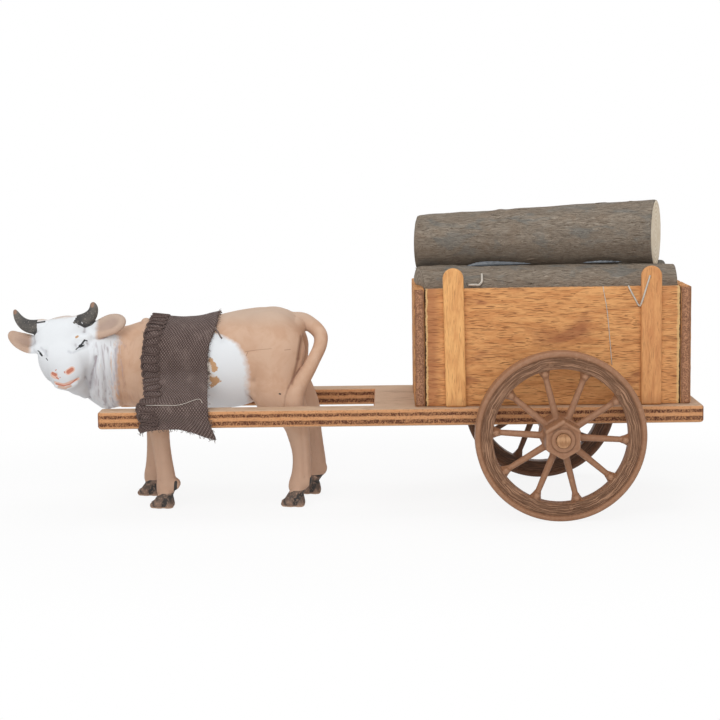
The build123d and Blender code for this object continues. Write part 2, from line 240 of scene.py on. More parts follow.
class Graph:
    """Adds shader or geometry nodes to one tree and links them."""

    def __init__(self, tree: Tree) -> None:
        """Keeps the tree.

        Args:
            tree: The tree that gets the nodes.
        """
        self.tree = tree

    def add(self, kind: str, **settings: object) -> Node:
        """Adds a node.

        Args:
            kind: The node's type name.
            settings: Attributes that are set on it.

        Returns:
            The node.
        """
        node = self.tree.nodes.new(kind)
        for name, value in settings.items():
            setattr(node, name, value)
        return node

    def feed(self, socket: Socket, value: object) -> None:
        """Links a socket to another socket, or sets its value."""
        if isinstance(value, Socket):
            self.tree.links.new(value, socket)
        elif value is not None:
            socket.default_value = value

    def feed_all(self, node: Node, values: dict[str | int, object]) -> None:
        """Feeds a node's inputs by name or number."""
        for name, value in values.items():
            self.feed(node.inputs[name], value)

    def put(self, kind: str, values: dict[str | int, object], **settings: object) -> Socket:
        """Adds a node with its inputs fed.

        Args:
            kind: The node's type name.
            values: Its inputs by name or number.
            settings: Attributes that are set on it.

        Returns:
            Its first output.
        """
        node = self.add(kind, **settings)
        self.feed_all(node, values)
        return node.outputs[0]

    def math(self, operation: str, first: object, second: object = None, third: object = None,
            clamp: bool = False) -> Socket:
        """One step of arithmetic.

        Args:
            operation: The operation's name.
            first: A number or a socket.
            second: A number or a socket.
            third: A number or a socket.
            clamp: Whether the result is held from 0 to 1.

        Returns:
            The result.
        """
        node = self.add("ShaderNodeMath", operation=operation, use_clamp=clamp)
        for socket, value in zip(node.inputs, (first, second, third)):
            self.feed(socket, value)
        return node.outputs[0]

    def times(self, first: object, second: object, clamp: bool = False) -> Socket:
        """The product of two values."""
        return self.math("MULTIPLY", first, second, clamp=clamp)

    def plus(self, first: object, second: object, clamp: bool = False) -> Socket:
        """The sum of two values."""
        return self.math("ADD", first, second, clamp=clamp)

    def minus(self, first: object, second: object) -> Socket:
        """The first value less the second."""
        return self.math("SUBTRACT", first, second)

    def over(self, first: object, second: object, clamp: bool = False) -> Socket:
        """The first value divided by the second."""
        return self.math("DIVIDE", first, second, clamp=clamp)

    def size(self, value: object) -> Socket:
        """The value without its sign."""
        return self.math("ABSOLUTE", value)

    def vector(self, operation: str, first: object, second: object = None) -> Socket:
        """One step of vector arithmetic.

        Args:
            operation: The operation's name.
            first: A vector or a socket.
            second: A vector, a number for SCALE, or a socket.

        Returns:
            The result: a number for LENGTH, DISTANCE and DOT_PRODUCT, and otherwise a vector.
        """
        node = self.add("ShaderNodeVectorMath", operation=operation)
        self.feed(node.inputs[0], first)
        self.feed(node.inputs["Scale"] if operation == "SCALE" else node.inputs[1], second)
        scalar = operation in ("LENGTH", "DISTANCE", "DOT_PRODUCT")
        return node.outputs["Value"] if scalar else node.outputs["Vector"]

    def mix(self, amount: object, first: object, second: object) -> Socket:
        """Mixes two colours.

        Args:
            amount: Share of the second colour.
            first: A colour or a socket.
            second: A colour or a socket.

        Returns:
            The mixed colour.
        """
        node = self.add("ShaderNodeMix", data_type="RGBA", clamp_factor=True)
        self.feed_all(node, {0: amount, 6: first, 7: second})
        return node.outputs[2]

    def rise(self, value: object, low: float, high: float, bottom: float = 0.0, top: float = 1.0) -> Socket:
        """Smooth change from bottom to top while value goes from low to high.

        Args:
            value: The socket that is read.
            low: Value at which the change starts.
            high: Value at which it ends.
            bottom: Result at low.
            top: Result at high.

        Returns:
            The result.
        """
        node = self.add("ShaderNodeMapRange", interpolation_type="SMOOTHSTEP")
        for socket, number in zip(node.inputs, (value, low, high, bottom, top)):
            self.feed(socket, number)
        return node.outputs["Result"]

    def coats(self, color: object, *rows: tuple) -> Socket:
        """Lays colours over a colour, each where a value rises.

        Args:
            color: The first colour.
            rows: For each coat its value, where it starts and is full, its greatest share and its colour.

        Returns:
            The colour with its coats.
        """
        for value, low, high, share, over in rows:
            color = self.mix(self.rise(value, low, high, 0.0, share), color, over)
        return color

    def split(self, vector: Socket) -> tuple[Socket, ...]:
        """The three numbers of a vector."""
        node = self.add("ShaderNodeSeparateXYZ")
        self.feed(node.inputs[0], vector)
        return tuple(node.outputs)

    def unite(self, x: object = 0.0, y: object = 0.0, z: object = 0.0) -> Socket:
        """A vector of three numbers."""
        return self.put("ShaderNodeCombineXYZ", {0: x, 1: y, 2: z})

    def noise(self, vector: object, lengths: float | tuple = 1.0, detail: float = 3.0, rough: float = 0.55,
            bend: float = 0.0, spread: float = 1.0) -> Socket:
        """Noise from 0 to 1.

        Args:
            vector: Where it is read.
            lengths: Its scale in millimetres, one for all ways or one for each.
            detail: Number of octaves.
            rough: Share of the fine octaves.
            bend: Distortion.
            spread: Contrast about the middle.

        Returns:
            The noise.
        """
        if lengths != 1.0:
            scale = lengths if isinstance(lengths, tuple) else (lengths,) * 3
            vector = self.vector("DIVIDE", vector, scale)
        noise = self.put("ShaderNodeTexNoise", {"Vector": vector, "Scale": 1.0, "Detail": detail,
                "Roughness": rough, "Distortion": bend})
        if spread == 1.0:
            return noise
        return self.math("MULTIPLY_ADD", noise, spread, 0.5 - spread / 2, clamp=True)

    def place(self) -> Socket:
        """Object coordinates in millimetres."""
        node = self.add("ShaderNodeTexCoord")
        return self.vector("SCALE", node.outputs["Object"], 1 / MM)

    def facing(self) -> tuple[Socket, ...]:
        """The three numbers of the surface's normal in the object's own frame."""
        return self.split(self.add("ShaderNodeTexCoord").outputs["Normal"])

    def stored(self, name: str) -> Socket:
        """A number that is stored on the vertices."""
        return self.add("ShaderNodeAttribute", attribute_name=name).outputs["Fac"]

    def use(self, group: Tree, **values: object) -> dict[str, Socket]:
        """Places a shared group.

        Args:
            group: The group.
            values: Its inputs, with underscores for spaces in their names.

        Returns:
            Its outputs by name.
        """
        node = self.add("ShaderNodeGroup", node_tree=group)
        for name, value in values.items():
            self.feed(node.inputs[name.replace("_", " ")], value)
        return {socket.name: socket for socket in node.outputs}


def new_tree(name: str, inputs: dict[str, object], outputs: tuple = ()) -> tuple[Tree, Graph, dict, Node]:
    """Starts a shared shader group, or a Geometry Nodes tree where it has no outputs of its own.

    Args:
        name: The tree's name.
        inputs: The usual value of each input: a vector, a number, or None for a material.
        outputs: The names of a shader group's outputs, all of them numbers.

    Returns:
        The tree, its graph, its inputs by name and its output node.
    """
    kinds = {tuple: "Vector", int: "Int", float: "Float", type(None): "Material"}
    tree = bpy.data.node_groups.new(name, "ShaderNodeTree" if outputs else "GeometryNodeTree")
    if not outputs:
        tree.interface.new_socket("Geometry", in_out="INPUT", socket_type="NodeSocketGeometry")
    for label, usual in inputs.items():
        socket = tree.interface.new_socket(label, in_out="INPUT",
                socket_type=f"NodeSocket{kinds[type(usual)]}")
        if usual is not None:
            socket.default_value = usual
    for label in outputs or ("Geometry",):
        kind = "NodeSocketFloat" if outputs else "NodeSocketGeometry"
        tree.interface.new_socket(label, in_out="OUTPUT", socket_type=kind)
    graph = Graph(tree)
    entry = graph.add("NodeGroupInput")
    return tree, graph, {s.name: s for s in entry.outputs if s.name}, graph.add("NodeGroupOutput")


@dataclass
class SharedEffects:
    """Shader groups that several finishes use."""

    grain: Tree = None
    stroke: Tree = None
    ragged: Tree = None

    def build(self) -> "SharedEffects":
        """Makes every group once."""
        self.grain = self._wood_grain()
        self.stroke = self._brush_stroke()
        self.ragged = self._ragged_edge()
        return self

    def _wood_grain(self) -> Tree:
        """Grain along X: broad figure, fine fibres and dark pores."""
        tree, graph, given, out = new_tree("wood grain", {"Point": (0, 0, 0), "Figure Size": 3.0,
                "Pore Length": 3.8, "Pore Width": 0.2, "Pore Level": 0.6},
                ("Figure", "Fibre", "Pores", "Height"))
        point, size = given["Point"], given["Figure Size"]
        waves = graph.noise(point, (14, 5, 5), 2.0)
        bent = graph.vector("ADD", point, graph.unite(0.0, graph.times(waves, 1.6),
                graph.times(waves, 1.6)))
        x, y, z = graph.split(bent)
        broad = graph.unite(graph.over(x, graph.times(size, 6.0)), graph.over(y, size), graph.over(z, size))
        figure = graph.noise(broad, 1.0, 3.0, 0.6, 0.4, 1.6)
        fibre = graph.noise(bent, (3.0, 0.22, 0.22), 3.0, 0.7, 0.0, 1.5)
        width = given["Pore Width"]
        thin = graph.unite(graph.over(x, given["Pore Length"]), graph.over(y, width), graph.over(z, width))
        pore_noise = graph.noise(thin, 1.0, 1.0, 0.5, 0.2)
        level = given["Pore Level"]
        pores = graph.times(graph.minus(pore_noise, level), 9.0, clamp=True)
        height = graph.minus(graph.times(fibre, 0.35), pores)
        graph.feed_all(out, {"Figure": figure, "Fibre": fibre, "Pores": pores, "Height": height})
        return tree

    def _brush_stroke(self) -> Tree:
        """Mask of one straight brush stroke between two places."""
        tree, graph, given, out = new_tree("brush stroke", {"Point": (0, 0, 0), "Start": (0, 0, 0),
                "End": (1, 0, 0), "Width": 1.0, "Softness": 0.15}, ("Mask",))
        from_start = graph.vector("SUBTRACT", given["Point"], given["Start"])
        line = graph.vector("SUBTRACT", given["End"], given["Start"])
        along = graph.over(graph.vector("DOT_PRODUCT", from_start, line),
                graph.plus(graph.vector("DOT_PRODUCT", line, line), 1e-6), clamp=True)
        gap = graph.vector("DISTANCE", from_start, graph.vector("SCALE", line, along))
        inside = graph.minus(graph.times(given["Width"], 0.5), gap)
        share = graph.over(inside, given["Softness"])
        graph.feed(out.inputs["Mask"], graph.plus(share, 0.5, clamp=True))
        return tree

    def _ragged_edge(self) -> Tree:
        """Breaks a soft mask's edge up with noise, as worn paint or torn fibre."""
        tree, graph, given, out = new_tree("ragged edge", {"Mask": 0.5, "Point": (0, 0, 0), "Size": 1.0,
                "Break": 0.6, "Sharpness": 4.0}, ("Mask",))
        size = graph.unite(given["Size"], given["Size"], given["Size"])
        lumps = graph.noise(graph.vector("DIVIDE", given["Point"], size), 1.0, 4.0, 0.65)
        moved = graph.plus(given["Mask"], graph.times(graph.minus(lumps, 0.5), given["Break"]))
        sharp = graph.times(graph.minus(moved, 0.5), given["Sharpness"])
        graph.feed(out.inputs["Mask"], graph.plus(sharp, 0.5, clamp=True))
        return tree


SHARED = SharedEffects()


@dataclass(frozen=True)
class Finish:
    """A surface finish that makes its own material."""

    name: str
    rough: float = 0.6
    gloss: ClassVar[float] = 0.3
    sheen: ClassVar[float] = 0.0
    depth: ClassVar[float] = 0.06
    strength: ClassVar[float] = 0.7

    def surface(self, graph: Graph) -> tuple[Socket, Socket]:
        """The colour of the surface and its relief."""
        raise NotImplementedError

    def build(self) -> Material:
        """Makes the material, with its relief as deep as depth in millimetres."""
        material = bpy.data.materials.new(self.name)
        material.use_nodes = True
        graph = Graph(material.node_tree)
        shader = material.node_tree.nodes["Principled BSDF"]
        color, relief = self.surface(graph)
        graph.feed_all(shader, {"Base Color": color, "Roughness": self.rough,
                "Specular IOR Level": self.gloss})
        if self.sheen:
            graph.feed_all(shader, {"Sheen Weight": self.sheen, "Sheen Roughness": SHEEN_ROUGHNESS})
        if relief is not None:
            bump = {"Strength": self.strength, "Distance": self.depth * MM, "Height": relief}
            graph.feed(shader.inputs["Normal"], graph.put("ShaderNodeBump", bump))
        return material


@dataclass(frozen=True)
class PlyFinish(Finish):
    """Sanded plywood plate: grey-beige faces, and edges with light and dark rough plies."""

    depth: ClassVar[float] = 0.1
    strength: ClassVar[float] = 0.8
    face: tuple = paint(208, 178, 150)
    face_dark: tuple = paint(180, 149, 122)
    ply_light: tuple = paint(214, 163, 118)
    ply_orange: tuple = paint(196, 132, 84)
    ply_dark: tuple = paint(90, 50, 32)
    bottom: float = 26.0
    thickness: float = 5.0

    def surface(self, graph: Graph) -> tuple[Socket, Socket]:
        """The colour of the surface and its relief."""
        point = graph.place()
        grain = graph.use(SHARED.grain, Point=point, Figure_Size=2.6, Pore_Level=0.64)
        sides = graph.facing()
        flat = graph.rise(graph.size(sides[2]), 0.55, 0.9)
        wobble = graph.noise(point, (2.4, 2.4, 50), 3.0, 0.6)
        height = graph.over(graph.minus(graph.split(point)[2], self.bottom), self.thickness)
        height = graph.plus(height, graph.times(graph.minus(wobble, 0.5), 0.1))
        bands = [graph.minus(half, graph.size(graph.minus(height, middle)))
                for middle, half in ((0.69, 0.10), (0.27, 0.125))]
        band = graph.rise(graph.math("MAXIMUM", *bands), -0.03, 0.04)
        ticks = graph.noise(point, (0.36, 0.36, 0.6), 2.0, 0.6, 1.2, 3.2)
        dark = graph.times(band, graph.rise(ticks, 0.25, 0.65, 0.3, 1.0))
        edge = graph.mix(grain["Fibre"], self.ply_orange, self.ply_light)
        flecks = graph.noise(point, (0.5, 0.5, 0.25), 2.0, 0.6, 0.0, 2.0)
        edge = graph.mix(graph.rise(flecks, 0.62, 0.8, 0.0, 0.5), edge, self.ply_dark)
        edge = graph.mix(dark, edge, self.ply_dark)
        end_grain = graph.rise(graph.size(sides[0]), 0.5, 0.9, 0.0, 0.6)
        edge = graph.mix(end_grain, edge, paint(136, 76, 50))
        top = graph.mix(grain["Fibre"], self.face_dark, self.face)
        top = graph.mix(graph.times(grain["Pores"], 0.5), top, paint(120, 94, 74))
        soil = graph.noise(point, (9, 5, 5), 3.0, 0.5, 0.5, 1.8)
        top = graph.mix(graph.rise(soil, 0.55, 0.85, 0.0, 0.35), top, paint(140, 110, 86))
        color = graph.mix(flat, edge, top)
        relief = graph.minus(grain["Height"], graph.times(dark, 1.2))
        return color, relief


class GrainWay(Enum):
    """Which way a board's grain runs."""

    ALONG = "along the cart"
    UPRIGHT = "upright"


@dataclass(frozen=True)
class BoardFinish(Finish):
    """Thin golden-brown wood with fine dark pores; its sawn edges are darker and rough."""

    depth: ClassVar[float] = 0.09
    strength: ClassVar[float] = 0.8
    way: GrainWay = GrainWay.ALONG
    light: tuple = paint(222, 163, 104)
    mid: tuple = paint(198, 134, 80)
    dark: tuple = paint(122, 74, 42)
    edge: tuple = paint(204, 150, 114)
    edge_dark: tuple = paint(136, 94, 70)
    stain: tuple = paint(150, 90, 58)
    pore_level: float = 0.57
    figure: float = 1.9
    stain_level: float = 0.62
    edge_axis: int = -1
    ends: tuple = ()
    ply_middle: float = 0.0
    ply_half: float = 1.5

    def turned(self, graph: Graph, point: Socket) -> Socket:
        """The point with the grain's way as its X."""
        x, y, z = graph.split(point)
        order = {GrainWay.ALONG: (x, y, z), GrainWay.UPRIGHT: (z, y, x)}
        return graph.unite(*order[self.way])

    def surface(self, graph: Graph) -> tuple[Socket, Socket]:
        """The colour of the surface and its relief."""
        point = graph.place()
        along = self.turned(graph, point)
        grain = graph.use(SHARED.grain, Point=along, Figure_Size=self.figure, Pore_Level=self.pore_level)
        tone = graph.plus(graph.times(grain["Figure"], 0.6), graph.times(grain["Fibre"], 0.4))
        color = graph.mix(graph.rise(tone, 0.3, 0.7), self.mid, self.light)
        stain = graph.noise(along, (16, 9, 9), 3.0, 0.6, 0.8, 1.6)
        color = graph.mix(graph.rise(stain, self.stain_level, self.stain_level + 0.25, 0.0, 0.7), color,
                self.stain)
        color = graph.mix(graph.times(grain["Pores"], 0.75), color, self.dark)
        relief = grain["Height"]
        x = graph.split(point)[0]
        torn = graph.math("MULTIPLY_ADD", graph.noise(point, (1.0, 1.0, 1.4), 4.0, 0.7), 1.2, -0.6)
        for at, inward in zip(self.ends, (1.0, -1.0)):
            depth = graph.times(graph.minus(x, at), inward)
            color = graph.mix(graph.rise(depth, 5.5, 2.0, 0.0, 0.62 if inward > 0 else 0.15), color,
                    self.stain)
            ragged = graph.plus(depth, torn)
            width = 1.3 if inward < 0 else 0.9
            color = graph.mix(graph.rise(ragged, width, 0.7, 0.0, 0.75), color, paint(222, 186, 128))
            slit = graph.rise(ragged, 0.42, 0.2)
            color = graph.mix(slit, color, paint(66, 40, 26))
            relief = graph.minus(relief, graph.times(slit, 3.0))
        if self.edge_axis >= 0:
            sawn = graph.rise(graph.size(graph.facing()[self.edge_axis]), 0.6, 0.9)
            grit = graph.noise(point, 0.4, 4.0, 0.75, 0.6, 2.6)
            ply = graph.size(graph.minus(x, self.ply_middle))
            rim = graph.rise(ply, self.ply_half * 0.25, self.ply_half * 0.75)
            rough_edge = graph.mix(graph.rise(grit, 0.3, 0.75), self.edge_dark, self.edge)
            rough_edge = graph.mix(graph.times(rim, 0.55), rough_edge, self.edge_dark)
            color = graph.mix(sawn, color, rough_edge)
            relief = graph.plus(relief, graph.times(sawn, graph.times(grit, 2.5)))
        return color, relief


@dataclass(frozen=True)
class BarkFinish(Finish):
    """Grey-brown twig bark with fine lengthwise wrinkles, pale flecks and dark patches, and painted shade
    where it faces down.
    """

    depth: ClassVar[float] = 0.24
    strength: ClassVar[float] = 0.95
    light: tuple = paint(182, 172, 158)
    mid: tuple = paint(148, 135, 120)
    dark: tuple = paint(98, 84, 70)
    green: tuple = paint(120, 124, 122)
    red: tuple = paint(142, 124, 106)

    def surface(self, graph: Graph) -> tuple[Socket, Socket]:
        """The colour of the surface and its relief."""
        point = graph.place()
        sway = graph.noise(point, (7, 4, 4), 2.0)
        bent = graph.vector("ADD", point, graph.unite(0.0, graph.times(sway, 2.4), graph.times(sway, 2.4)))
        wrinkle = graph.noise(bent, (2.8, 0.24, 0.24), 4.0, 0.7, 0.6, 2.3)
        fine = graph.noise(bent, (1.6, 0.12, 0.12), 2.0, 0.6, 0.0, 2.0)
        patch = graph.noise(point, (9, 5, 5), 3.0, 0.6, 0.6, 2.0)
        # The last coat is painted shade: the bark turns darker wherever it faces down.
        color = graph.coats(self.dark, (wrinkle, 0.1, 0.55, 1.0, self.mid),
                (wrinkle, 0.55, 0.95, 0.7, self.light), (patch, 0.55, 0.85, 0.55, self.red),
                (patch, 0.45, 0.15, 0.5, self.green), (fine, 0.68, 0.92, 0.7, self.light),
                (fine, 0.3, 0.08, 0.85, self.dark), (graph.facing()[2], 0.35, -0.7, 0.55, self.dark))
        relief = graph.plus(wrinkle, graph.times(fine, 0.4))
        return color, relief


@dataclass(frozen=True)
class CutWoodFinish(Finish):
    """Freshly sawn cream end of a twig, with saw marks and faint rings."""

    depth: ClassVar[float] = 0.08
    strength: ClassVar[float] = 0.7
    light: tuple = paint(246, 234, 214)
    dark: tuple = paint(218, 198, 168)
    ring_middle: tuple = (0.0, 0.0)

    def surface(self, graph: Graph) -> tuple[Socket, Socket]:
        """The colour of the surface and its relief."""
        point = graph.place()
        _, y, z = graph.split(point)
        marks = graph.noise(point, (0.5, 0.3, 3.0), 3.0, 0.6, 0.2, 2.0)
        out = graph.vector("LENGTH", graph.unite(0.0, graph.minus(y, self.ring_middle[0]),
                graph.minus(z, self.ring_middle[1])))
        rings = graph.math("SINE", graph.times(out, 5.2))
        tone = graph.plus(graph.times(marks, 0.7), graph.times(rings, 0.12))
        color = graph.mix(graph.rise(tone, 0.15, 0.6), self.dark, self.light)
        return color, marks


@dataclass(frozen=True)
class PlasticFinish(Finish):
    """Moulded brown plastic with a wood-grain relief that follows the rim, with painted shade and highlight
    on it.
    """

    depth: ClassVar[float] = 0.22
    strength: ClassVar[float] = 0.9
    base: tuple = paint(144, 102, 74)
    recess_shade: tuple = paint(84, 56, 38)
    highlight_and_wear: tuple = paint(172, 132, 104)
    axle_x: float = 59.2
    axle_z: float = 24.0

    def surface(self, graph: Graph) -> tuple[Socket, Socket]:
        """The colour of the surface and its relief."""
        point = graph.place()
        x, y, z = graph.split(point)
        from_x = graph.minus(x, self.axle_x)
        from_z = graph.minus(z, self.axle_z)
        radius = graph.vector("LENGTH", graph.unite(from_x, 0.0, from_z))
        around = graph.vector("SCALE", graph.vector("NORMALIZE", graph.unite(from_x, 0.0, from_z)), 3.0)
        sway = graph.times(graph.noise(graph.vector("SCALE", around, 1.3), 1.0, 2.0), 1.5)
        lines = graph.put("ShaderNodeTexNoise", {"Vector": graph.vector("ADD", around,
                graph.unite(0.0, y, 0.0)), "W": graph.times(graph.plus(radius, sway), 5.2), "Scale": 1.0,
                "Detail": 2.0}, noise_dimensions="4D")
        line = graph.rise(lines, 0.41, 0.58)
        on_rim = graph.times(graph.rise(radius, 18.6, 19.0), graph.rise(radius, 22.5, 22.1))
        faces = graph.rise(graph.size(graph.facing()[1]), 0.5, 0.8)
        grooves = graph.times(on_rim, faces)
        worn = graph.noise(point, 1.1, 4.0, 0.7, 0.3, 1.8)
        # The grain lines are coloured with painted shade in their grooves and painted highlight on their
        # ridges.
        groove_shading = graph.mix(line, self.recess_shade, self.highlight_and_wear)
        color = graph.mix(graph.rise(worn, 0.3, 0.8, 0.0, 0.35), self.base, self.highlight_and_wear)
        color = graph.mix(graph.times(grooves, 0.72), color, groove_shading)
        # Painted highlight on convex edges and painted shade in hollows, both read from pointiness; the
        # worn patches above use the same light colour.
        bent = graph.add("ShaderNodeNewGeometry").outputs["Pointiness"]
        edge = graph.rise(bent, 0.505, 0.56)
        color = graph.mix(graph.times(edge, 0.6), color, self.highlight_and_wear)
        hollow = graph.rise(bent, 0.49, 0.43)
        color = graph.mix(graph.times(hollow, 0.7), color, self.recess_shade)
        relief = graph.plus(graph.times(grooves, line), graph.times(worn, 0.15))
        return color, relief


@dataclass
class Solid:
    """Signed distances in millimetres on a grid, from which a closed mesh is made."""

    low: Place
    high: Place
    cell: float
    value: Array = field(init=False)

    def __post_init__(self) -> None:
        """Makes the axes and an empty grid."""
        self.axes = [np.arange(a, b + self.cell, self.cell, dtype=np.float32)
                for a, b in zip(self.low, self.high)]
        self.value = np.full([len(a) for a in self.axes], 9.0, np.float32)

    def window(self, low: Array, high: Array) -> tuple:
        """The part of the grid between two corners.

        Args:
            low: Lowest corner.
            high: Highest corner.

        Returns:
            The slices and the places in them, one to a row.
        """
        slices = tuple(slice(max(int(np.searchsorted(a, lo)) - 1, 0), int(np.searchsorted(a, hi)) + 1)
                for a, lo, hi in zip(self.axes, low, high))
        parts = [a[s] for a, s in zip(self.axes, slices)]
        places = np.stack(np.meshgrid(*parts, indexing="ij"), axis=-1).reshape(-1, 3)
        return slices, places

    def add(self, shape: "Shape", blend: float = 0.0) -> None:
        """Joins a shape on, with a fillet about as wide as blend."""
        self._merge(shape, blend, 1.0)

    def cut(self, shape: "Shape", blend: float = 0.0) -> None:
        """Takes a shape away, with edges rounded about as wide as blend."""
        self._merge(shape, blend, -1.0)

    def _merge(self, shape: "Shape", blend: float, sign: float) -> None:
        """Smooth union, or smooth difference where sign is -1."""
        low, high = shape.reach()
        slices, places = self.window(low - blend - 1.5, high + blend + 1.5)
        if min(s.stop - s.start for s in slices) <= 0:
            return
        there = self.value[slices]
        new = shape.distance(places).reshape(there.shape).astype(np.float32)
        old = there * sign
        if blend > 0:
            share = np.clip(0.5 + 0.5 * (old - new) / blend, 0, 1)
            result = old * (1 - share) + new * share - blend * share * (1 - share)
        else:
            result = np.minimum(old, new)
        self.value[slices] = result * sign

    def groove(self, path: tuple, width: float, depth: float, low_y: float, high_y: float) -> None:
        """Presses a groove in along a path of x and z, straight through from one y to another.

        Args:
            path: Places as x and z.
            width: The groove's width.
            depth: Its depth.
            low_y: Where it starts.
            high_y: Where it ends.
        """
        route = np.array(path, float)

        def amount(places: Array) -> Array:
            """Depth at each place."""
            flat = places[:, [0, 2]]
            gap = np.full(len(flat), 99.0)
            for a, b in zip(route, route[1:]):
                along = np.clip((flat - a) @ (b - a) / ((b - a) @ (b - a)), 0, 1)
                gap = np.minimum(gap, np.linalg.norm(flat - a - along[:, None] * (b - a), axis=1))
            return depth * np.exp(-(gap / (width * 0.5)) ** 2)

        low, high = route.min(0) - width * 1.5, route.max(0) + width * 1.5
        self.press((low[0], low_y, low[1]), (high[0], high_y, high[1]), amount)

    def press(self, low: tuple, high: tuple, amount) -> None:
        """Adds amount(places) to the distances between two corners, so that the surface moves in."""
        slices, places = self.window(np.array(low), np.array(high))
        self.value[slices] += amount(places).reshape(self.value[slices].shape).astype(np.float32)

    def mesh(self, name: str) -> Piece:
        """The surface as a closed object."""
        grid = openvdb.FloatGrid(9.0)
        grid.copyFromArray(np.clip(self.value, -9.0, 9.0))
        points, triangles, quads = grid.convertToPolygons(isovalue=0.0, adaptivity=0.0)
        points = points * self.cell + np.array(self.low)
        faces = [*quads.tolist(), *triangles.tolist()]
        a, b, c = points[quads[:, 0]], points[quads[:, 1]], points[quads[:, 2]]
        if (np.cross(b - a, c - a) * a).sum() < 0:
            faces = [f[::-1] for f in faces]
        return to_object(name, points, faces)


class Shape:
    """Something with a signed distance."""

    def reach(self) -> Corners:
        """Lowest and highest corner."""
        raise NotImplementedError

    def distance(self, places: Array) -> Array:
        """Signed distance at each place."""
        raise NotImplementedError


@dataclass
class Ball(Shape):
    """An ellipsoid, its axes along the rows of turn."""

    middle: Place
    radii: Place
    turn: Array = field(default_factory=lambda: np.eye(3))

    def reach(self) -> Corners:
        """Lowest and highest corner."""
        size = max(self.radii)
        return np.array(self.middle) - size, np.array(self.middle) + size

    def distance(self, places: Array) -> Array:
        """Signed distance at each place."""
        local = (places - np.array(self.middle, np.float32)) @ np.asarray(self.turn, np.float32).T
        radii = np.array(self.radii, np.float32)
        first = np.linalg.norm(local / radii, axis=1)
        second = np.linalg.norm(local / radii**2, axis=1)
        return first * (first - 1) / np.maximum(second, 1e-6)


@dataclass
class Limb(Shape):
    """A tapering round bar between two places, made flat along one direction where flat is over 1."""

    start: Place
    end: Place
    start_r: float
    end_r: float
    flat_way: Place = (0.0, 1.0, 0.0)
    flat: float = 1.0

    def reach(self) -> Corners:
        """Lowest and highest corner."""
        ends = np.array([self.start, self.end], float)
        size = max(self.start_r, self.end_r)
        return ends.min(0) - size, ends.max(0) + size

    def distance(self, places: Array) -> Array:
        """Signed distance at each place."""
        start, end = np.array(self.start, np.float32), np.array(self.end, np.float32)
        line = end - start
        from_start = places - start
        along = np.clip(from_start @ line / max(float(line @ line), 1e-6), 0, 1)
        off = from_start - along[:, None] * line
        way = np.array(self.flat_way, np.float32)
        way /= np.linalg.norm(way)
        off = off + (off @ way)[:, None] * way * (self.flat - 1)
        gap = np.linalg.norm(off, axis=1)
        return (gap - (self.start_r + along * (self.end_r - self.start_r))) / (1 + 0.35 * (self.flat - 1))


def chain(rows: list[tuple], flat_way: tuple = (0.0, 1.0, 0.0), flat: float = 1.0,
        steps: int = 1) -> list[Limb]:
    """Bars through a table of x, y, z and radius.

    Args:
        rows: The table.
        flat_way: The direction in which the bars are flat.
        flat: How flat they are.
        steps: How many bars follow a smooth curve between two rows.

    Returns:
        The bars.
    """
    table = np.array(rows, float)
    if steps > 1:
        ends = np.vstack([2 * table[0] - table[1], table, 2 * table[-1] - table[-2]])
        share = np.linspace(0, 1, steps, endpoint=False)[:, None]
        spans = [b + share * (c - a) / 2 + share**2 * (a - 2.5 * b + 2 * c - d / 2)
                + share**3 * (1.5 * (b - c) + (d - a) / 2)
                for a, b, c, d in zip(ends, ends[1:], ends[2:], ends[3:])]
        table = np.vstack([*spans, table[-1:]])
    return [Limb(tuple(a[:3]), tuple(b[:3]), a[3], b[3], flat_way, flat) for a, b in zip(table, table[1:])]


@dataclass
class Barrel(Shape):
    """A body along X given by its outline: rows of x, top z, bottom z and half width."""

    rows: tuple
    power: float = 2.3

    def reach(self) -> Corners:
        """Lowest and highest corner."""
        x, top, bottom, half = np.array(self.rows, float).T
        return (np.array([x.min() - 4, -half.max(), bottom.min()]),
                np.array([x.max() + 4, half.max(), top.max()]))

    def distance(self, places: Array) -> Array:
        """Signed distance at each place."""
        x, top, bottom, half = np.array(self.rows, float).T
        fine = np.linspace(x[0], x[-1], 160)
        smoothed = []
        for column in (top, bottom, half):
            line = np.interp(fine, x, column)
            padded = np.pad(line, 9, mode="reflect", reflect_type="odd")
            smoothed.append(np.convolve(padded, np.hanning(21)[1:-1] / np.hanning(21).sum(), "valid"))
        at = np.clip(places[:, 0], x[0], x[-1])
        top_z, bottom_z, half_y = (np.interp(at, fine, line) for line in smoothed)
        middle, tall = (top_z + bottom_z) / 2, (top_z - bottom_z) / 2
        p = self.power
        off_y, off_z = np.abs(places[:, 1]), np.abs(places[:, 2] - middle)
        ratio = ((off_y / half_y) ** p + (off_z / tall) ** p) ** (1 / p)
        section = (ratio - 1) * np.minimum(tall, half_y)
        beyond = np.abs(places[:, 0] - at)
        return np.where(beyond > 0, np.hypot(np.maximum(section + 3.0, 0), beyond) - 3.0, section)


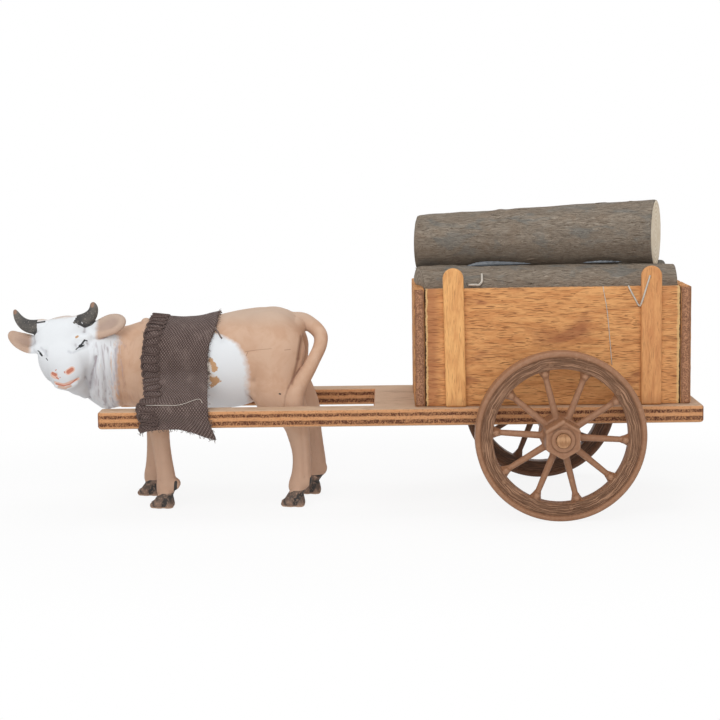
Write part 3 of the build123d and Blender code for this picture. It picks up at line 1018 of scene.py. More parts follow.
@dataclass
class OxFigure:
    """The moulded ox figure, with its painted face, horns and hooves."""

    cell: float = 0.3
    kept_share: float = 0.6
    eyes_middle: tuple = (-83.6, -15.6, 48.2)
    turn_deg: float = 96.0
    nod_deg: float = 39.0
    tilt_deg: float = 12.0
    trunk: tuple = (
        # x, top, bottom, half width
        (-68.0, 50.8, 33.0, 7.0), (-65.0, 53.3, 30.0, 9.4), (-61.5, 55.0, 28.6, 11.2),
        (-57.0, 55.2, 28.2, 12.0), (-51.0, 54.6, 28.5, 12.5), (-45.0, 54.9, 28.4, 13.0),
        (-39.0, 56.2, 28.3, 13.2), (-33.0, 57.5, 28.8, 12.9), (-27.0, 58.3, 30.8, 12.2),
        (-22.0, 58.1, 37.0, 11.2), (-18.0, 57.5, 42.0, 9.2), (-16.2, 55.8, 49.0, 5.8),
    )
    neck: tuple = (
        # x, y, z, then half length, half width, half height
        (-66.5, -0.8, 41.0, 7.5, 9.4, 11.2), (-71.5, -3.0, 42.5, 6.8, 8.8, 10.2),
        (-76.0, -6.0, 46.0, 6.2, 7.4, 8.6), (-72.8, -3.6, 34.6, 4.6, 4.8, 5.6),
        (-75.8, -7.6, 38.4, 3.4, 3.8, 5.6),
    )
    paired: tuple = (
        # middle on the far side, radii and blend: shoulder and haunch
        ((-57.0, 8.4, 42.5), (6.6, 4.4, 10.0), 3.0), ((-23.6, 7.0, 46.0), (9.4, 5.8, 11.6), 2.5),
    )
    head: tuple = (
        # side, outward, down, then half width, half depth, half length
        (0.0, -3.6, -5.6, 6.4, 4.8, 5.8), (3.2, -3.9, -6.4, 4.2, 4.5, 5.2),
        (-3.2, -3.9, -6.4, 4.2, 4.5, 5.2), (0.6, -1.5, -7.4, 7.4, 3.6, 4.2),
        (0.0, -4.4, -0.5, 7.3, 4.8, 6.0), (0.0, -4.4, 4.2, 5.5, 4.5, 4.8), (0.0, -3.5, 7.2, 4.6, 3.6, 3.5),
        (0.3, -5.4, 7.2, 3.2, 2.6, 2.3), (4.6, -7.4, -0.6, 2.9, 4.6, 5.6),
        (-4.6, -7.4, -0.6, 2.9, 4.6, 5.6), (0.0, -7.4, 2.6, 4.4, 3.4, 5.0),
    )
    near_horn: tuple = (
        # x, y, z, radius
        (-89.3, -10.5, 54.5, 2.1), (-92.2, -10.4, 54.3, 1.95), (-94.8, -10.0, 54.9, 1.65),
        (-96.8, -9.6, 56.7, 1.15), (-97.9, -9.2, 58.9, 0.55),
    )
    far_horn: tuple = (
        (-80.4, -9.4, 55.0, 2.1), (-79.2, -9.0, 55.3, 2.05), (-77.1, -8.9, 56.1, 1.95),
        (-75.5, -8.7, 57.6, 1.5), (-74.9, -8.5, 59.3, 1.1), (-75.1, -8.4, 60.5, 0.7),
    )
    near_ear: tuple = (
        (-91.0, -10.6, 49.0, 2.4), (-93.7, -9.6, 49.2, 2.7), (-96.8, -8.4, 50.2, 2.25),
        (-98.9, -7.4, 51.3, 1.4), (-99.7, -7.0, 52.1, 0.6),
    )
    far_ear: tuple = (
        (-76.1, -10.3, 53.2, 1.7), (-73.5, -9.8, 53.3, 2.5), (-71.2, -9.0, 54.1, 3.0),
        (-69.2, -8.3, 54.9, 2.9), (-67.9, -7.8, 55.2, 1.9),
    )
    tail: tuple = (
        (-17.5, 0.0, 54.2, 2.3), (-13.9, 0.0, 54.2, 1.95), (-11.2, -0.5, 52.6, 1.8),
        (-9.5, -1.5, 51.1, 1.7), (-8.6, -3.0, 49.4, 1.65), (-9.0, -5.0, 46.7, 1.65),
        (-10.6, -7.8, 43.5, 1.65), (-12.4, -9.8, 40.2, 1.75), (-14.3, -11.2, 37.2, 1.9),
        (-15.7, -12.0, 34.7, 2.0), (-16.4, -12.4, 32.2, 2.3), (-16.6, -12.4, 29.0, 2.4),
    )
    front_leg: tuple = (
        # z, side, half length
        (42.0, 8.0, 6.6), (34.0, 8.2, 4.6), (27.0, 8.8, 2.9), (21.0, 9.0, 2.4), (14.0, 9.2, 2.25),
        (8.5, 9.4, 2.35), (5.0, 9.5, 2.4),
    )
    front_near_x: tuple = (-57.5, -57.0, -56.8, -56.4, -55.6, -54.9, -55.2)
    front_far_x: tuple = (-57.5, -58.5, -59.6, -60.2, -60.5, -60.9, -61.6)
    hind_leg: tuple = (
        (46.0, 6.4, 8.2), (38.0, 7.2, 6.8), (33.5, 7.8, 6.6), (29.5, 8.2, 5.2), (26.0, 8.5, 3.6),
        (21.0, 8.9, 2.8), (15.5, 9.2, 2.35), (9.0, 9.4, 2.55), (5.6, 9.4, 2.25),
    )
    hind_near_x: tuple = (-21.5, -22.4, -21.8, -18.6, -16.6, -15.5, -14.7, -14.9, -16.4)
    hind_far_x: tuple = (-21.0, -20.8, -19.3, -16.2, -13.8, -12.8, -11.7, -11.2, -12.4)
    jaw: tuple = (
        # x, y, z, radius
        (-82.0, -17.4, 39.8, 2.5), (-79.7, -13.2, 37.2, 2.3), (-77.7, -9.8, 35.3, 2.4),
    )
    eyes: tuple = ((-89.6, -14.2, 46.9), (-77.9, -13.6, 49.2))
    nostrils: tuple = ((-84.9, -19.9, 41.5), (-80.3, -20.2, 42.4))
    mouth: tuple = (
        # x, y, z along the line between the lips
        (-85.2, -19.6, 39.2), (-84.5, -19.9, 38.8), (-82.2, -20.3, 38.4), (-80.5, -20.2, 38.8),
        (-79.1, -19.8, 39.5), (-78.1, -19.2, 40.4),
    )
    jaw_crease: tuple = (
        # x, z
        (-76.9, 32.4), (-76.5, 35.5), (-76.0, 38.3), (-75.3, 41.0), (-74.4, 43.6), (-73.8, 45.6),
    )
    tendons: tuple = (
        # side, then x and z along grooves in the legs
        (-1, ((-14.6, 24.5), (-14.2, 17.0), (-13.9, 9.0))),
        (-1, ((-57.4, 24.0), (-56.6, 16.0), (-56.4, 8.5))), (1, ((-11.8, 23.0), (-10.9, 9.5))),
        (1, ((-61.6, 23.0), (-61.8, 9.5))),
    )
    white_end: tuple = ((28.0, 38.0, 46.0, 52.0, 60.0), (-69.6, -69.2, -68.6, -67.8, -67.6))
    belly_end: tuple = (
        # heights, then the x at which the white ends there
        (28.0, 36.0, 40.7, 45.1, 48.9, 51.4, 53.0), (-29.5, -30.0, -29.6, -30.5, -32.8, -37.4, -44.0),
    )

    def axes(self) -> Array:
        """Rows of the head's side, outward and down directions."""
        turn, nod, tilt = (math.radians(a) for a in (self.turn_deg, self.nod_deg, self.tilt_deg))
        look = np.array([-math.cos(turn), -math.sin(turn), 0.0])
        side = np.array([math.sin(turn), -math.cos(turn), 0.0])
        up = np.array([0.0, 0.0, 1.0])
        across = side * math.cos(tilt) + up * math.sin(tilt)
        upright = up * math.cos(tilt) - side * math.sin(tilt)
        down = look * math.sin(nod) - upright * math.cos(nod)
        return np.array([across, np.cross(down, across), down])

    def on_head(self, side: float, outward: float, down: float) -> Array:
        """A place given from between the eyes."""
        return np.array(self.eyes_middle) + np.array([side, outward, down]) @ self.axes()

    def build_solid(self) -> Solid:
        """Joins all masses of the figure."""
        solid = Solid((-102.5, -26.5, -0.6), (-4.5, 15.5, 62.5), self.cell)
        solid.add(Barrel(self.trunk))
        for row in self.neck:
            solid.add(Ball(row[:3], row[3:]), 4.0)
        for side in (-1, 1):
            for (x, y, z), radii, blend in self.paired:
                solid.add(Ball((x + 0.3 * (side > 0) * (x > -40), side * y, z), radii), blend)
        self._legs(solid)
        axes = self.axes()
        for row in self.head:
            solid.add(Ball(tuple(self.on_head(*row[:3])), row[3:], axes), 2.0)
        for bar in chain(self.jaw):
            solid.add(bar, 1.5)
        for rows in (self.near_horn, self.far_horn):
            for bar in chain(rows, steps=5):
                solid.add(bar, 0.4)
        for rows in (self.near_ear, self.far_ear):
            for bar in chain(rows, tuple(axes[1]), 2.4, 4):
                solid.add(bar, 0.6)
        for bar in chain(self.tail, steps=3):
            solid.add(bar, 1.0)
        self._small_forms(solid, axes)
        return solid

    def _small_forms(self, solid: Solid, axes: Array) -> None:
        """Adds eyes, lips, ear hollows, neck folds, creases and tendons.

        Args:
            solid: The figure so far.
            axes: The head's directions.
        """
        for number, eye in enumerate(self.eyes):
            away = (-0.62, -0.74, 0.24) if number == 0 else (0.42, -0.76, 0.5)
            socket = np.array(eye) + np.array(away) * 1.75
            solid.cut(Ball(tuple(socket), (2.6, 1.9, 1.5), axes), 1.5)
            solid.add(Ball(tuple(np.array(eye) - np.array(away) * 0.8), (1.5, 1.0, 1.0), axes), 0.8)
            brow = np.array(eye) + np.array((0.0, 1.1, 1.9))
            solid.add(Limb(tuple(brow - axes[0] * 1.6), tuple(brow + axes[0] * 1.6), 0.9, 0.9), 1.6)
        for place in self.nostrils:
            solid.cut(Ball(tuple(np.array(place) + axes[1] * 0.25), (0.85, 0.6, 0.5), axes), 0.5)
        lip = [(x, y + 0.95, z - 0.6, 0.8) for x, y, z in self.mouth[1:-1]]
        for bar in chain(lip, steps=3):
            solid.add(bar, 0.6)
        solid.groove([(x, z) for x, _, z in self.mouth], 0.6, 0.32, -23.0, -17.0)
        solid.groove(self.jaw_crease, 1.3, 0.75, -17.0, -8.0)
        for rows in (self.near_ear, self.far_ear):
            inner = [(*(np.array(row[:3]) + axes[1] * 1.75), row[3] * 0.74) for row in rows[1:-1]]
            for bar in chain(inner, tuple(axes[1]), 1.5, 3):
                solid.cut(bar, 0.6)
        solid.press((-77, -15, 28), (-63, 13, 52), self._neck_folds)
        for side in (-1, 1):
            solid.add(Ball((-28.7, side * 10.0, 36.1), (1.9, 1.7, 1.8)), 1.2)
            solid.add(Limb((-29.0, side * 9.6, 34.4), (-25.4, side * 11.2, 30.9), 1.2, 1.2), 1.0)
        solid.add(Ball((-60.5, -2.5, 54.9), (1.3, 1.6, 0.9)), 0.9)
        for side, path in self.tendons:
            solid.groove(path, 1.3, 0.3, min(side * 5.0, side * 16.0), max(side * 5.0, side * 16.0))

    def _neck_folds(self, places: Array) -> Array:
        """Depth of the upright folds in the loose skin of the neck."""
        x, y, z = places.T
        sway = ripples(places, 14.0, 71, 2)
        strength = 0.5 + 0.5 * ripples(places * np.array((1.0, 1.0, 0.2), np.float32), 5.0, 72, 2)
        fold = np.cos(2 * math.pi * (x + 0.05 * (z - 40) + 0.3 * sway) / 2.0)
        broad = np.cos(2 * math.pi * (x + 0.07 * (z - 40) + 0.5 * sway) / 4.7 + 1.0)
        where = smooth_step(-76.6, -74.6, x) * smooth_step(-64.4, -67.5, x) * smooth_step(50.5, 44.0, z)
        depth = (0.24 * strength * np.maximum(fold, -0.4) + 0.16 * broad) * where
        return depth * smooth_step(2.0, 5.0, np.abs(y))

    def tint(self, piece: Piece) -> None:
        """Stores where the figure's paints lie and how deep its creases are, for each vertex.

        Args:
            piece: The figure's mesh.
        """
        places = places_mm(piece)
        x, y, z = places.T
        near = min_distance(self.near_horn[1:], places, (0, 1, 0), 1.0)
        far = min_distance(self.far_horn, places, (0, 1, 0), 1.0)
        far = np.where(x > -80.3 - 0.5 * (56.0 - z), far, 9.0)
        horn = smooth_step(0.9, 0.35, np.minimum(near, far))
        flat_way = tuple(self.axes()[1])
        left = smooth_step(1.0, 0.3, min_distance(self.near_ear, places, flat_way, 2.4))
        left = left * smooth_step(-92.0, -95.0, x)
        right = smooth_step(1.0, 0.3, min_distance(self.far_ear, places, flat_way, 2.4))
        right = right * smooth_step(-75.2, -72.4, x)
        poll = 0.75 * smooth_step(0.0, 1.6, z - 55.6 - 0.10 * (x + 88)) * (x < -74)
        poll = np.maximum(poll, smooth_step(-8.5, -7.0, y) * smooth_step(50.0, 52.5, z) * (x > -90))
        white = smooth_step(2.8, -2.4, x - np.interp(z, *self.white_end))
        white = white * (1 - np.maximum(left, right)) * (1 - poll)
        belly = smooth_step(2.4, -2.4, x - np.interp(z, *self.belly_end)) * smooth_step(-47.5, -45.0, x)
        hoof = np.zeros(len(x))
        for feet, side, top in ((self.front_near_x, -1, 4.6), (self.front_far_x, 1, 5.0),
                (self.hind_near_x, -1, 5.0), (self.hind_far_x, 1, 6.0)):
            over = top + 0.5 * np.minimum(0, x - feet[-1] + 0.6) - z
            hoof = np.maximum(hoof, smooth_step(-0.25, 0.25, over) * (np.abs(x - feet[-1]) < 7)
                    * (y * side > 0))
        neck = smooth_step(-76.0, -73.8, x) * smooth_step(-61.5, -66.5, x) * smooth_step(53.0, 47.0, z)
        for name, values in (("neck", neck), ("white", np.maximum(white, belly * 0.92)), ("horn", horn),
                ("hoof", hoof), ("ear", np.maximum(left, right)), ("crease", crease_depth(piece, 5)),
                ("hollow", crease_depth(piece, 36))):
            add_value(piece, name, values)

    def _legs(self, solid: Solid) -> None:
        """Adds the four legs, their dewclaws and their cloven hooves."""
        for side, places, rows in ((-1, self.front_near_x, self.front_leg),
                (1, self.front_far_x, self.front_leg), (-1, self.hind_near_x, self.hind_leg),
                (1, self.hind_far_x, self.hind_leg)):
            bars = [(x, side * y, z, r) for x, (z, y, r) in zip(places, rows)]
            for bar in chain(bars, (0, 1, 0), 1.12, 3):
                solid.add(bar, 1.2)
            x, y, z, _ = bars[-1]
            for toe in (-1, 1):
                for start, end, radii, blend in (
                        ((0.5, 1.1, z - 0.5), (-1.8, 1.45, 1.6), (1.75, 1.75), 0.5),
                        ((-1.6, 1.4, 1.3), (-3.7, 1.3, 0.9), (1.5, 0.95), 0.4),
                        ((0.6, 1.1, 2.6), (0.8, 1.2, 1.0), (1.6, 1.7), 0.5)):
                    ends = [(x + forward, y + toe * out, at) for forward, out, at in (start, end)]
                    solid.add(Limb(*ends, *radii), blend)
                solid.add(Ball((x + 2.9, y + toe * 1.0, z + 2.0), (1.5, 1.1, 1.6)), 1.0)

    def build(self) -> Piece:
        """Makes the figure's mesh."""
        solid = self.build_solid()
        floor = np.broadcast_to(-solid.axes[2][None, None, :], solid.value.shape)
        solid.value = np.maximum(solid.value, floor)
        figure = solid.mesh("ox_figure")
        fewer = figure.modifiers.new("fewer faces", "DECIMATE")
        fewer.ratio = self.kept_share
        depsgraph = bpy.context.evaluated_depsgraph_get()
        plain = bpy.data.meshes.new_from_object(figure.evaluated_get(depsgraph))
        figure.modifiers.clear()
        figure.data = plain
        shade_smooth(plain)
        self.tint(figure)
        return figure


def min_distance(rows: tuple, places: Array, flat_way: tuple, flat: float) -> Array:
    """Least signed distance to the bars through a table of x, y, z and radius."""
    return np.min([bar.distance(places) for bar in chain(list(rows), flat_way, flat)], axis=0)


def crease_depth(piece: Piece, steps: int) -> Array:
    """How far each vertex lies under the smoothed surface.

    Args:
        piece: A mesh object.
        steps: How many times the surface is smoothed, so how broad the creases are.

    Returns:
        The depth in millimetres, negative on ridges.
    """
    count = len(piece.data.edges)
    ends = np.empty(count * 2, np.int32)
    piece.data.edges.foreach_get("vertices", ends)
    first, second = ends.reshape(-1, 2).T
    places = places_mm(piece).astype(np.float64)
    total = len(places)
    links = np.bincount(first, minlength=total) + np.bincount(second, minlength=total)
    smooth = places.copy()
    for _ in range(steps):
        for axis in range(3):
            column = smooth[:, axis]
            near = np.bincount(first, column[second], total) + np.bincount(second, column[first], total)
            smooth[:, axis] = near / np.maximum(links, 1)
    normals = np.empty(total * 3, np.float32)
    piece.data.vertex_normals.foreach_get("vector", normals)
    return ((smooth - places) * normals.reshape(-1, 3)).sum(1)


class Tint(Enum):
    """The figure's paints, with the colours of its painted shade and sheen."""

    TAN = paint(206, 172, 147)
    TAN_DEEP = paint(198, 160, 133)
    # BACK is the tan with painted sheen, and LEG_SHADE the tan with painted shade.
    BACK = paint(196, 174, 156)
    LEG_SHADE = paint(186, 152, 130)
    WHITE = paint(228, 231, 234)
    WHITE_GREY = paint(202, 202, 204)
    # WHITE_WASH and TAN_WASH are painted shade colours.
    WHITE_WASH = paint(164, 158, 162)
    TAN_WASH = paint(140, 104, 84)
    HORN = paint(64, 63, 63)
    HORN_PALE = paint(146, 138, 128)
    HORN_TIP = paint(146, 116, 98)
    HOOF = paint(60, 57, 55)
    EAR = paint(160, 152, 148)
    # EAR_DEEP is painted shade inside the ear.
    EAR_DEEP = paint(160, 138, 130)
    BLACK = paint(46, 48, 50)
    NECK_GREY = paint(160, 146, 152)
    NECK_TAN = paint(178, 140, 122)
    ORANGE = paint(190, 120, 98)
    PALE_ORANGE = paint(222, 186, 170)
    LIP = paint(196, 166, 150)
    GREY = paint(200, 203, 208)
    CHIP = paint(194, 152, 112)
    PRIMER = paint(222, 212, 202)
    CRACK = paint(160, 122, 98)


@dataclass(frozen=True)
class ResinFinish(Finish):
    """Matt hand-painted resin: tan and white coats, dark horns and hooves, strokes, chips, painted shade
    and highlights.
    """

    depth: ClassVar[float] = 0.05
    strength: ClassVar[float] = 0.5
    chips: tuple = (
        # paint, start and end as x and z, width: chips with ragged edges
        (Tint.PRIMER, (-41.4, 43.9), (-41.6, 38.6), 2.3), (Tint.PRIMER, (-40.8, 40.3), (-40.2, 39.4), 1.5),
        (Tint.CHIP, (-40.3, 44.0), (-39.4, 41.6), 1.5), (Tint.CHIP, (-40.4, 38.4), (-38.6, 38.2), 1.7),
        (Tint.CHIP, (-40.2, 36.8), (-38.6, 37.9), 1.3),
    )
    strokes: tuple = (
        # paint, start and end as x and z, width: strokes on the near side, most of a fine brush, some
        # painted shade and painted glints
        (Tint.PALE_ORANGE, (-85.5, 41.4), (-84.6, 41.0), 1.6),
        (Tint.PALE_ORANGE, (-80.8, 42.2), (-79.9, 42.8), 1.75),
        (Tint.ORANGE, (-85.5, 41.7), (-84.6, 41.3), 0.85), (Tint.ORANGE, (-80.8, 42.2), (-79.9, 42.8), 1.1),
        (Tint.LIP, (-83.7, 37.9), (-81.8, 37.5), 0.8), (Tint.LIP, (-81.8, 37.6), (-80.3, 38.1), 0.65),
        (Tint.PALE_ORANGE, (-84.8, 39.1), (-82.2, 38.5), 0.8),
        (Tint.PALE_ORANGE, (-82.2, 38.5), (-78.3, 40.0), 0.75),
        (Tint.ORANGE, (-84.6, 38.7), (-82.2, 38.2), 0.4), (Tint.ORANGE, (-82.2, 38.2), (-80.5, 38.6), 0.36),
        (Tint.ORANGE, (-80.5, 38.6), (-78.6, 40.0), 0.3), (Tint.ORANGE, (-84.2, 40.6), (-83.7, 40.3), 0.45),
        (Tint.ORANGE, (-84.6, 42.6), (-84.4, 42.8), 0.28), (Tint.ORANGE, (-81.9, 42.3), (-81.8, 42.0), 0.3),
        (Tint.ORANGE, (-83.2, 40.7), (-83.1, 40.7), 0.26), (Tint.CHIP, (-79.4, 51.5), (-79.0, 51.7), 0.6),
        (Tint.HORN, (-91.0, 55.7), (-88.8, 56.0), 0.45), (Tint.HORN_TIP, (-98.1, 59.5), (-97.8, 58.6), 1.1),
        (Tint.HORN_TIP, (-75.0, 61.0), (-75.2, 60.2), 1.0),
        (Tint.WHITE_GREY, (-79.8, 55.3), (-79.3, 55.0), 0.3),
        (Tint.WHITE_GREY, (-79.0, 54.5), (-78.8, 54.3), 0.34),
        (Tint.WHITE_GREY, (-78.1, 55.6), (-77.9, 55.2), 0.22),
        (Tint.GREY, (-89.6, 48.6), (-87.6, 46.4), 0.4), (Tint.GREY, (-81.3, 47.7), (-80.6, 47.3), 0.45),
        (Tint.GREY, (-79.9, 47.3), (-77.2, 48.6), 0.4), (Tint.BLACK, (-90.6, 47.7), (-89.8, 47.1), 0.34),
        (Tint.BLACK, (-89.9, 47.0), (-89.4, 46.4), 0.62), (Tint.BLACK, (-87.9, 45.7), (-87.4, 45.2), 0.26),
        (Tint.BLACK, (-79.3, 48.1), (-78.3, 49.0), 0.32), (Tint.BLACK, (-78.3, 48.9), (-77.6, 49.2), 0.95),
        (Tint.BLACK, (-77.9, 49.4), (-77.1, 50.5), 0.5), (Tint.BLACK, (-77.1, 50.6), (-76.4, 50.3), 0.36),
        # The two small white dots in the eyes are painted glints.
        (Tint.WHITE, (-89.1, 46.8), (-89.0, 46.6), 0.34), (Tint.WHITE, (-77.5, 49.4), (-77.4, 49.3), 0.24),
        (Tint.BLACK, (-41.2, 40.7), (-41.1, 40.1), 0.38), (Tint.CRACK, (-30.3, 46.5), (-27.0, 47.0), 0.14),
        (Tint.CRACK, (-27.0, 47.0), (-22.7, 47.4), 0.1), (Tint.CRACK, (-18.9, 46.9), (-17.2, 47.0), 0.14),
        (Tint.CRACK, (-30.2, 45.2), (-29.6, 46.4), 0.16), (Tint.BLACK, (-20.6, 34.2), (-20.3, 34.1), 0.42),
        # The dark strips up the heels of the near hooves are painted shade in the clefts.
        (Tint.HOOF, (-51.9, 7.8), (-52.2, 4.6), 0.9), (Tint.HOOF, (-11.9, 8.4), (-12.2, 5.4), 0.9),
        # These strokes paint the shadow between the haunch and the tail.
        (Tint.TAN_WASH, (-14.2, 50.4), (-15.2, 44.0), 0.8),
        (Tint.TAN_WASH, (-15.2, 44.0), (-17.0, 37.0), 0.6),
    )

    def surface(self, graph: Graph) -> tuple[Socket, Socket]:
        """The colour of the surface and its relief."""
        point = graph.place()
        height = graph.split(point)[2]
        cloud = graph.noise(point, 7, 4.0, 0.6, 0.4, 1.7)
        fine = graph.noise(point, 0.5, 3.0, 0.7, 0.0, 1.8)
        # The tan turns greyer on top of the back as painted sheen and darker down the legs as painted
        # shade.
        tan = graph.coats(Tint.TAN.value, (cloud, 0.3, 0.75, 1.0, Tint.TAN_DEEP.value),
                (height, 52.0, 57.5, 0.7, Tint.BACK.value), (height, 27.0, 14.0, 0.8, Tint.LEG_SHADE.value))
        # The white turns grey lower down, most of all at the neck and face: painted shade.
        low = graph.times(graph.rise(height, 50.0, 38.0, 0.0, 0.85),
                graph.rise(graph.split(point)[0], -60.0, -66.0, 0.2, 1.0))
        white = graph.mix(low, Tint.WHITE.value, Tint.WHITE_GREY.value)
        lines = graph.noise(graph.vector("ADD", graph.vector("DIVIDE", point, (0.75, 1.6, 9.0)),
                graph.unite(graph.times(height, 0.08))), 1.0, 2.0, 0.6, 0.3, 2.4)
        streaks = graph.times(graph.minus(lines, 0.5), graph.stored("neck"))
        mask = graph.math("MULTIPLY_ADD", streaks, 0.7, graph.stored("white"))
        zone = graph.use(SHARED.ragged, Mask=mask, Point=point, Size=1.1, Break=0.5, Sharpness=1.7)["Mask"]
        color = graph.mix(zone, tan, white)
        # Painted shade in creases and broad hollows, from the stored crease depths; fine speckles take the
        # same dark colour.
        shade_color = graph.mix(zone, Tint.TAN_WASH.value, Tint.WHITE_WASH.value)
        crease_shade = graph.plus(graph.rise(graph.stored("crease"), 0.02, 0.16, 0.0, 0.75),
                graph.rise(graph.stored("hollow"), 0.06, 0.7, 0.0, 0.5), clamp=True)
        color = graph.mix(graph.times(crease_shade, graph.rise(fine, 0.1, 0.6, 0.7, 1.0)), color, shade_color)
        color = graph.mix(graph.rise(fine, 0.66, 0.95, 0.0, 0.08), color, shade_color)
        # Ridges go back to the plain tan and white: painted highlight.
        color = graph.mix(graph.rise(graph.stored("crease"), -0.03, -0.12, 0.0, 0.35), color,
                graph.mix(zone, Tint.TAN.value, Tint.WHITE.value))
        color = graph.mix(graph.times(graph.stored("neck"), graph.rise(lines, 0.48, 0.95, 0.0, 0.62)),
                color, graph.mix(zone, Tint.NECK_TAN.value, Tint.NECK_GREY.value))
        # Inside the ear's hollow the colour darkens: painted shade.
        inner = graph.times(graph.stored("ear"), graph.rise(graph.stored("hollow"), -0.15, 0.35))
        color = graph.mix(graph.times(graph.stored("ear"), 0.3), color, Tint.EAR.value)
        color = graph.mix(graph.times(inner, 0.5), color, Tint.EAR_DEEP.value)
        speckle = graph.noise(point, 0.7, 4.0, 0.75, 0.5, 2.4)
        ridge = graph.rise(graph.stored("crease"), -0.01, -0.10)
        for name, dark, pale in (("horn", Tint.HORN, Tint.HORN_PALE), ("hoof", Tint.HOOF, Tint.LEG_SHADE)):
            coat = graph.use(SHARED.ragged, Mask=graph.stored(name), Point=point, Size=0.7, Break=0.5,
                    Sharpness=5.0)["Mask"]
            worn = graph.plus(graph.rise(speckle, 0.62, 0.85, 0.0, 0.55), graph.times(ridge, 0.45),
                    clamp=True)
            tone = graph.mix(worn, dark.value, pale.value)
            if name == "hoof":
                tone = graph.mix(graph.rise(height, 0.7, 0.3, 0.0, 0.8), tone, Tint.TAN.value)
            color = graph.mix(coat, color, tone)
        x, depth, z = graph.split(point)
        on_near = graph.rise(depth, -6.0, -8.0)
        front = graph.unite(x, 0.0, z)
        sway = graph.vector("SUBTRACT", self._noise_color(graph, point), (0.5, 0.5, 0.5))
        wavy = graph.vector("ADD", front, graph.vector("SCALE", sway, 2.0))
        for at, rows in ((wavy, self.chips), (front, self.strokes)):
            for tint, start, end, width in rows:
                soft = 0.7 if tint in (Tint.GREY, Tint.TAN_WASH) else 0.14 if at is front else 0.3
                mask = graph.use(SHARED.stroke, Point=at, Start=(start[0], 0, start[1]),
                        End=(end[0], 0, end[1]), Width=width, Softness=soft)["Mask"]
                color = graph.mix(graph.times(mask, on_near), color, tint.value)
        return color, graph.plus(fine, graph.times(cloud, 0.6))

    def _noise_color(self, graph: Graph, point: Socket) -> Socket:
        """Three noises at once, as a vector."""
        node = graph.add("ShaderNodeTexNoise")
        graph.feed_all(node, {"Vector": graph.vector("DIVIDE", point, (0.9, 0.9, 0.9)), "Scale": 1.0})
        return node.outputs["Color"]


def rounded(first: Array, second: Array, corner: float) -> Array:
    """Distance to the bar in which both distances are below 0, with its corners rounded."""
    off = np.stack([first, second], 1) + corner
    return np.minimum(off.max(1), 0) + np.linalg.norm(np.maximum(off, 0), axis=1) - corner


@dataclass
class RingBar(Shape):
    """A ring about the wheel's axle, its section a rounded rectangle."""

    inner: float
    outer: float
    back: float
    front: float
    corner: float = 0.4

    def reach(self) -> Corners:
        """Lowest and highest corner."""
        r = self.outer
        return np.array([-r, self.back, -r]), np.array([r, self.front, r])

    def distance(self, places: Array) -> Array:
        """Signed distance at each place."""
        radius = np.hypot(places[:, 0], places[:, 2])
        return rounded(np.abs(radius - (self.inner + self.outer) / 2) - (self.outer - self.inner) / 2,
                np.abs(places[:, 1] - (self.back + self.front) / 2) - (self.front - self.back) / 2,
                self.corner)


@dataclass
class SixSided(Shape):
    """A six-sided nave about the wheel's axle, a corner upwards, which narrows to its front."""

    back: float
    front: float
    back_r: float
    front_r: float
    sharpness: float = 26.0
    corner: float = 0.2

    def reach(self) -> Corners:
        """Lowest and highest corner."""
        r = max(self.back_r, self.front_r)
        return np.array([-r, self.back, -r]), np.array([r, self.front, r])

    def distance(self, places: Array) -> Array:
        """Signed distance at each place."""
        share = np.clip((places[:, 1] - self.back) / (self.front - self.back), 0, 1)
        across = (self.back_r + (self.front_r - self.back_r) * share) * math.cos(math.radians(30))
        sides = [np.abs(places[:, 0] * math.cos(a) + places[:, 2] * math.sin(a)) / across
                for a in np.radians((0, 60, 120))]
        ratio = sum(side**self.sharpness for side in sides) ** (1 / self.sharpness)
        flank = (ratio - 1) * across
        end = np.abs(places[:, 1] - (self.back + self.front) / 2) - (self.front - self.back) / 2
        return rounded(flank, end, self.corner)


@dataclass
class Stick(Shape):
    """A flat stick with a rounded top, standing in a side view."""

    foot: tuple[float, float]
    middle_y: float
    width: float
    length: float
    thickness: float
    lean_deg: float
    edge: float = 0.5

    def reach(self) -> Corners:
        """Lowest and highest corner."""
        x, z = self.foot
        return (np.array([x - self.width, self.middle_y - self.thickness, z]),
                np.array([x + self.width, self.middle_y + self.thickness, z + self.length + 1]))

    def distance(self, places: Array) -> Array:
        """Signed distance at each place."""
        lean = math.radians(self.lean_deg)
        x, z = places[:, 0] - self.foot[0], places[:, 2] - self.foot[1]
        across, along = x * math.cos(lean) + z * math.sin(lean), z * math.cos(lean) - x * math.sin(lean)
        half = self.width / 2
        outline = np.hypot(across, np.maximum(along - (self.length - half), 0)) - half
        outline = np.maximum(outline, -z)
        face = np.abs(places[:, 1] - self.middle_y) - self.thickness / 2
        return rounded(outline, face, self.edge)


def close_repeat(graph: Graph, instances: Socket, material: Socket, out: Node) -> None:
    """Ends a repeat tree with its instances made real and given their material.

    Args:
        graph: The tree's graph.
        instances: The instances.
        material: The material input.
        out: The tree's output node.
    """
    real = graph.put("GeometryNodeRealizeInstances", {0: instances})
    graph.feed(out.inputs[0], graph.put("GeometryNodeSetMaterial",
            {"Geometry": real, "Material": material}))


def grow(name: str, base: Piece, tree: Tree, **values: object) -> Piece:
    """Runs a repeat tree on a base mesh and keeps the result as a plain mesh.

    Args:
        name: The new object's name.
        base: The mesh that the tree reads, which is used up.
        tree: The tree.
        values: Its inputs, with underscores for spaces in their names.

    Returns:
        The plain mesh object.
    """
    modifier = base.modifiers.new("repeat", "NODES")
    modifier.node_group = tree
    for socket in tree.interface.items_tree:
        label = socket.name.replace(" ", "_")
        if socket.in_out == "INPUT" and label in values:
            modifier[socket.identifier] = values[label]
    graph = bpy.context.evaluated_depsgraph_get()
    mesh = bpy.data.meshes.new_from_object(base.evaluated_get(graph))
    bpy.data.objects.remove(base)
    made = bpy.data.objects.new(name, mesh)
    bpy.context.scene.collection.objects.link(made)
    return made


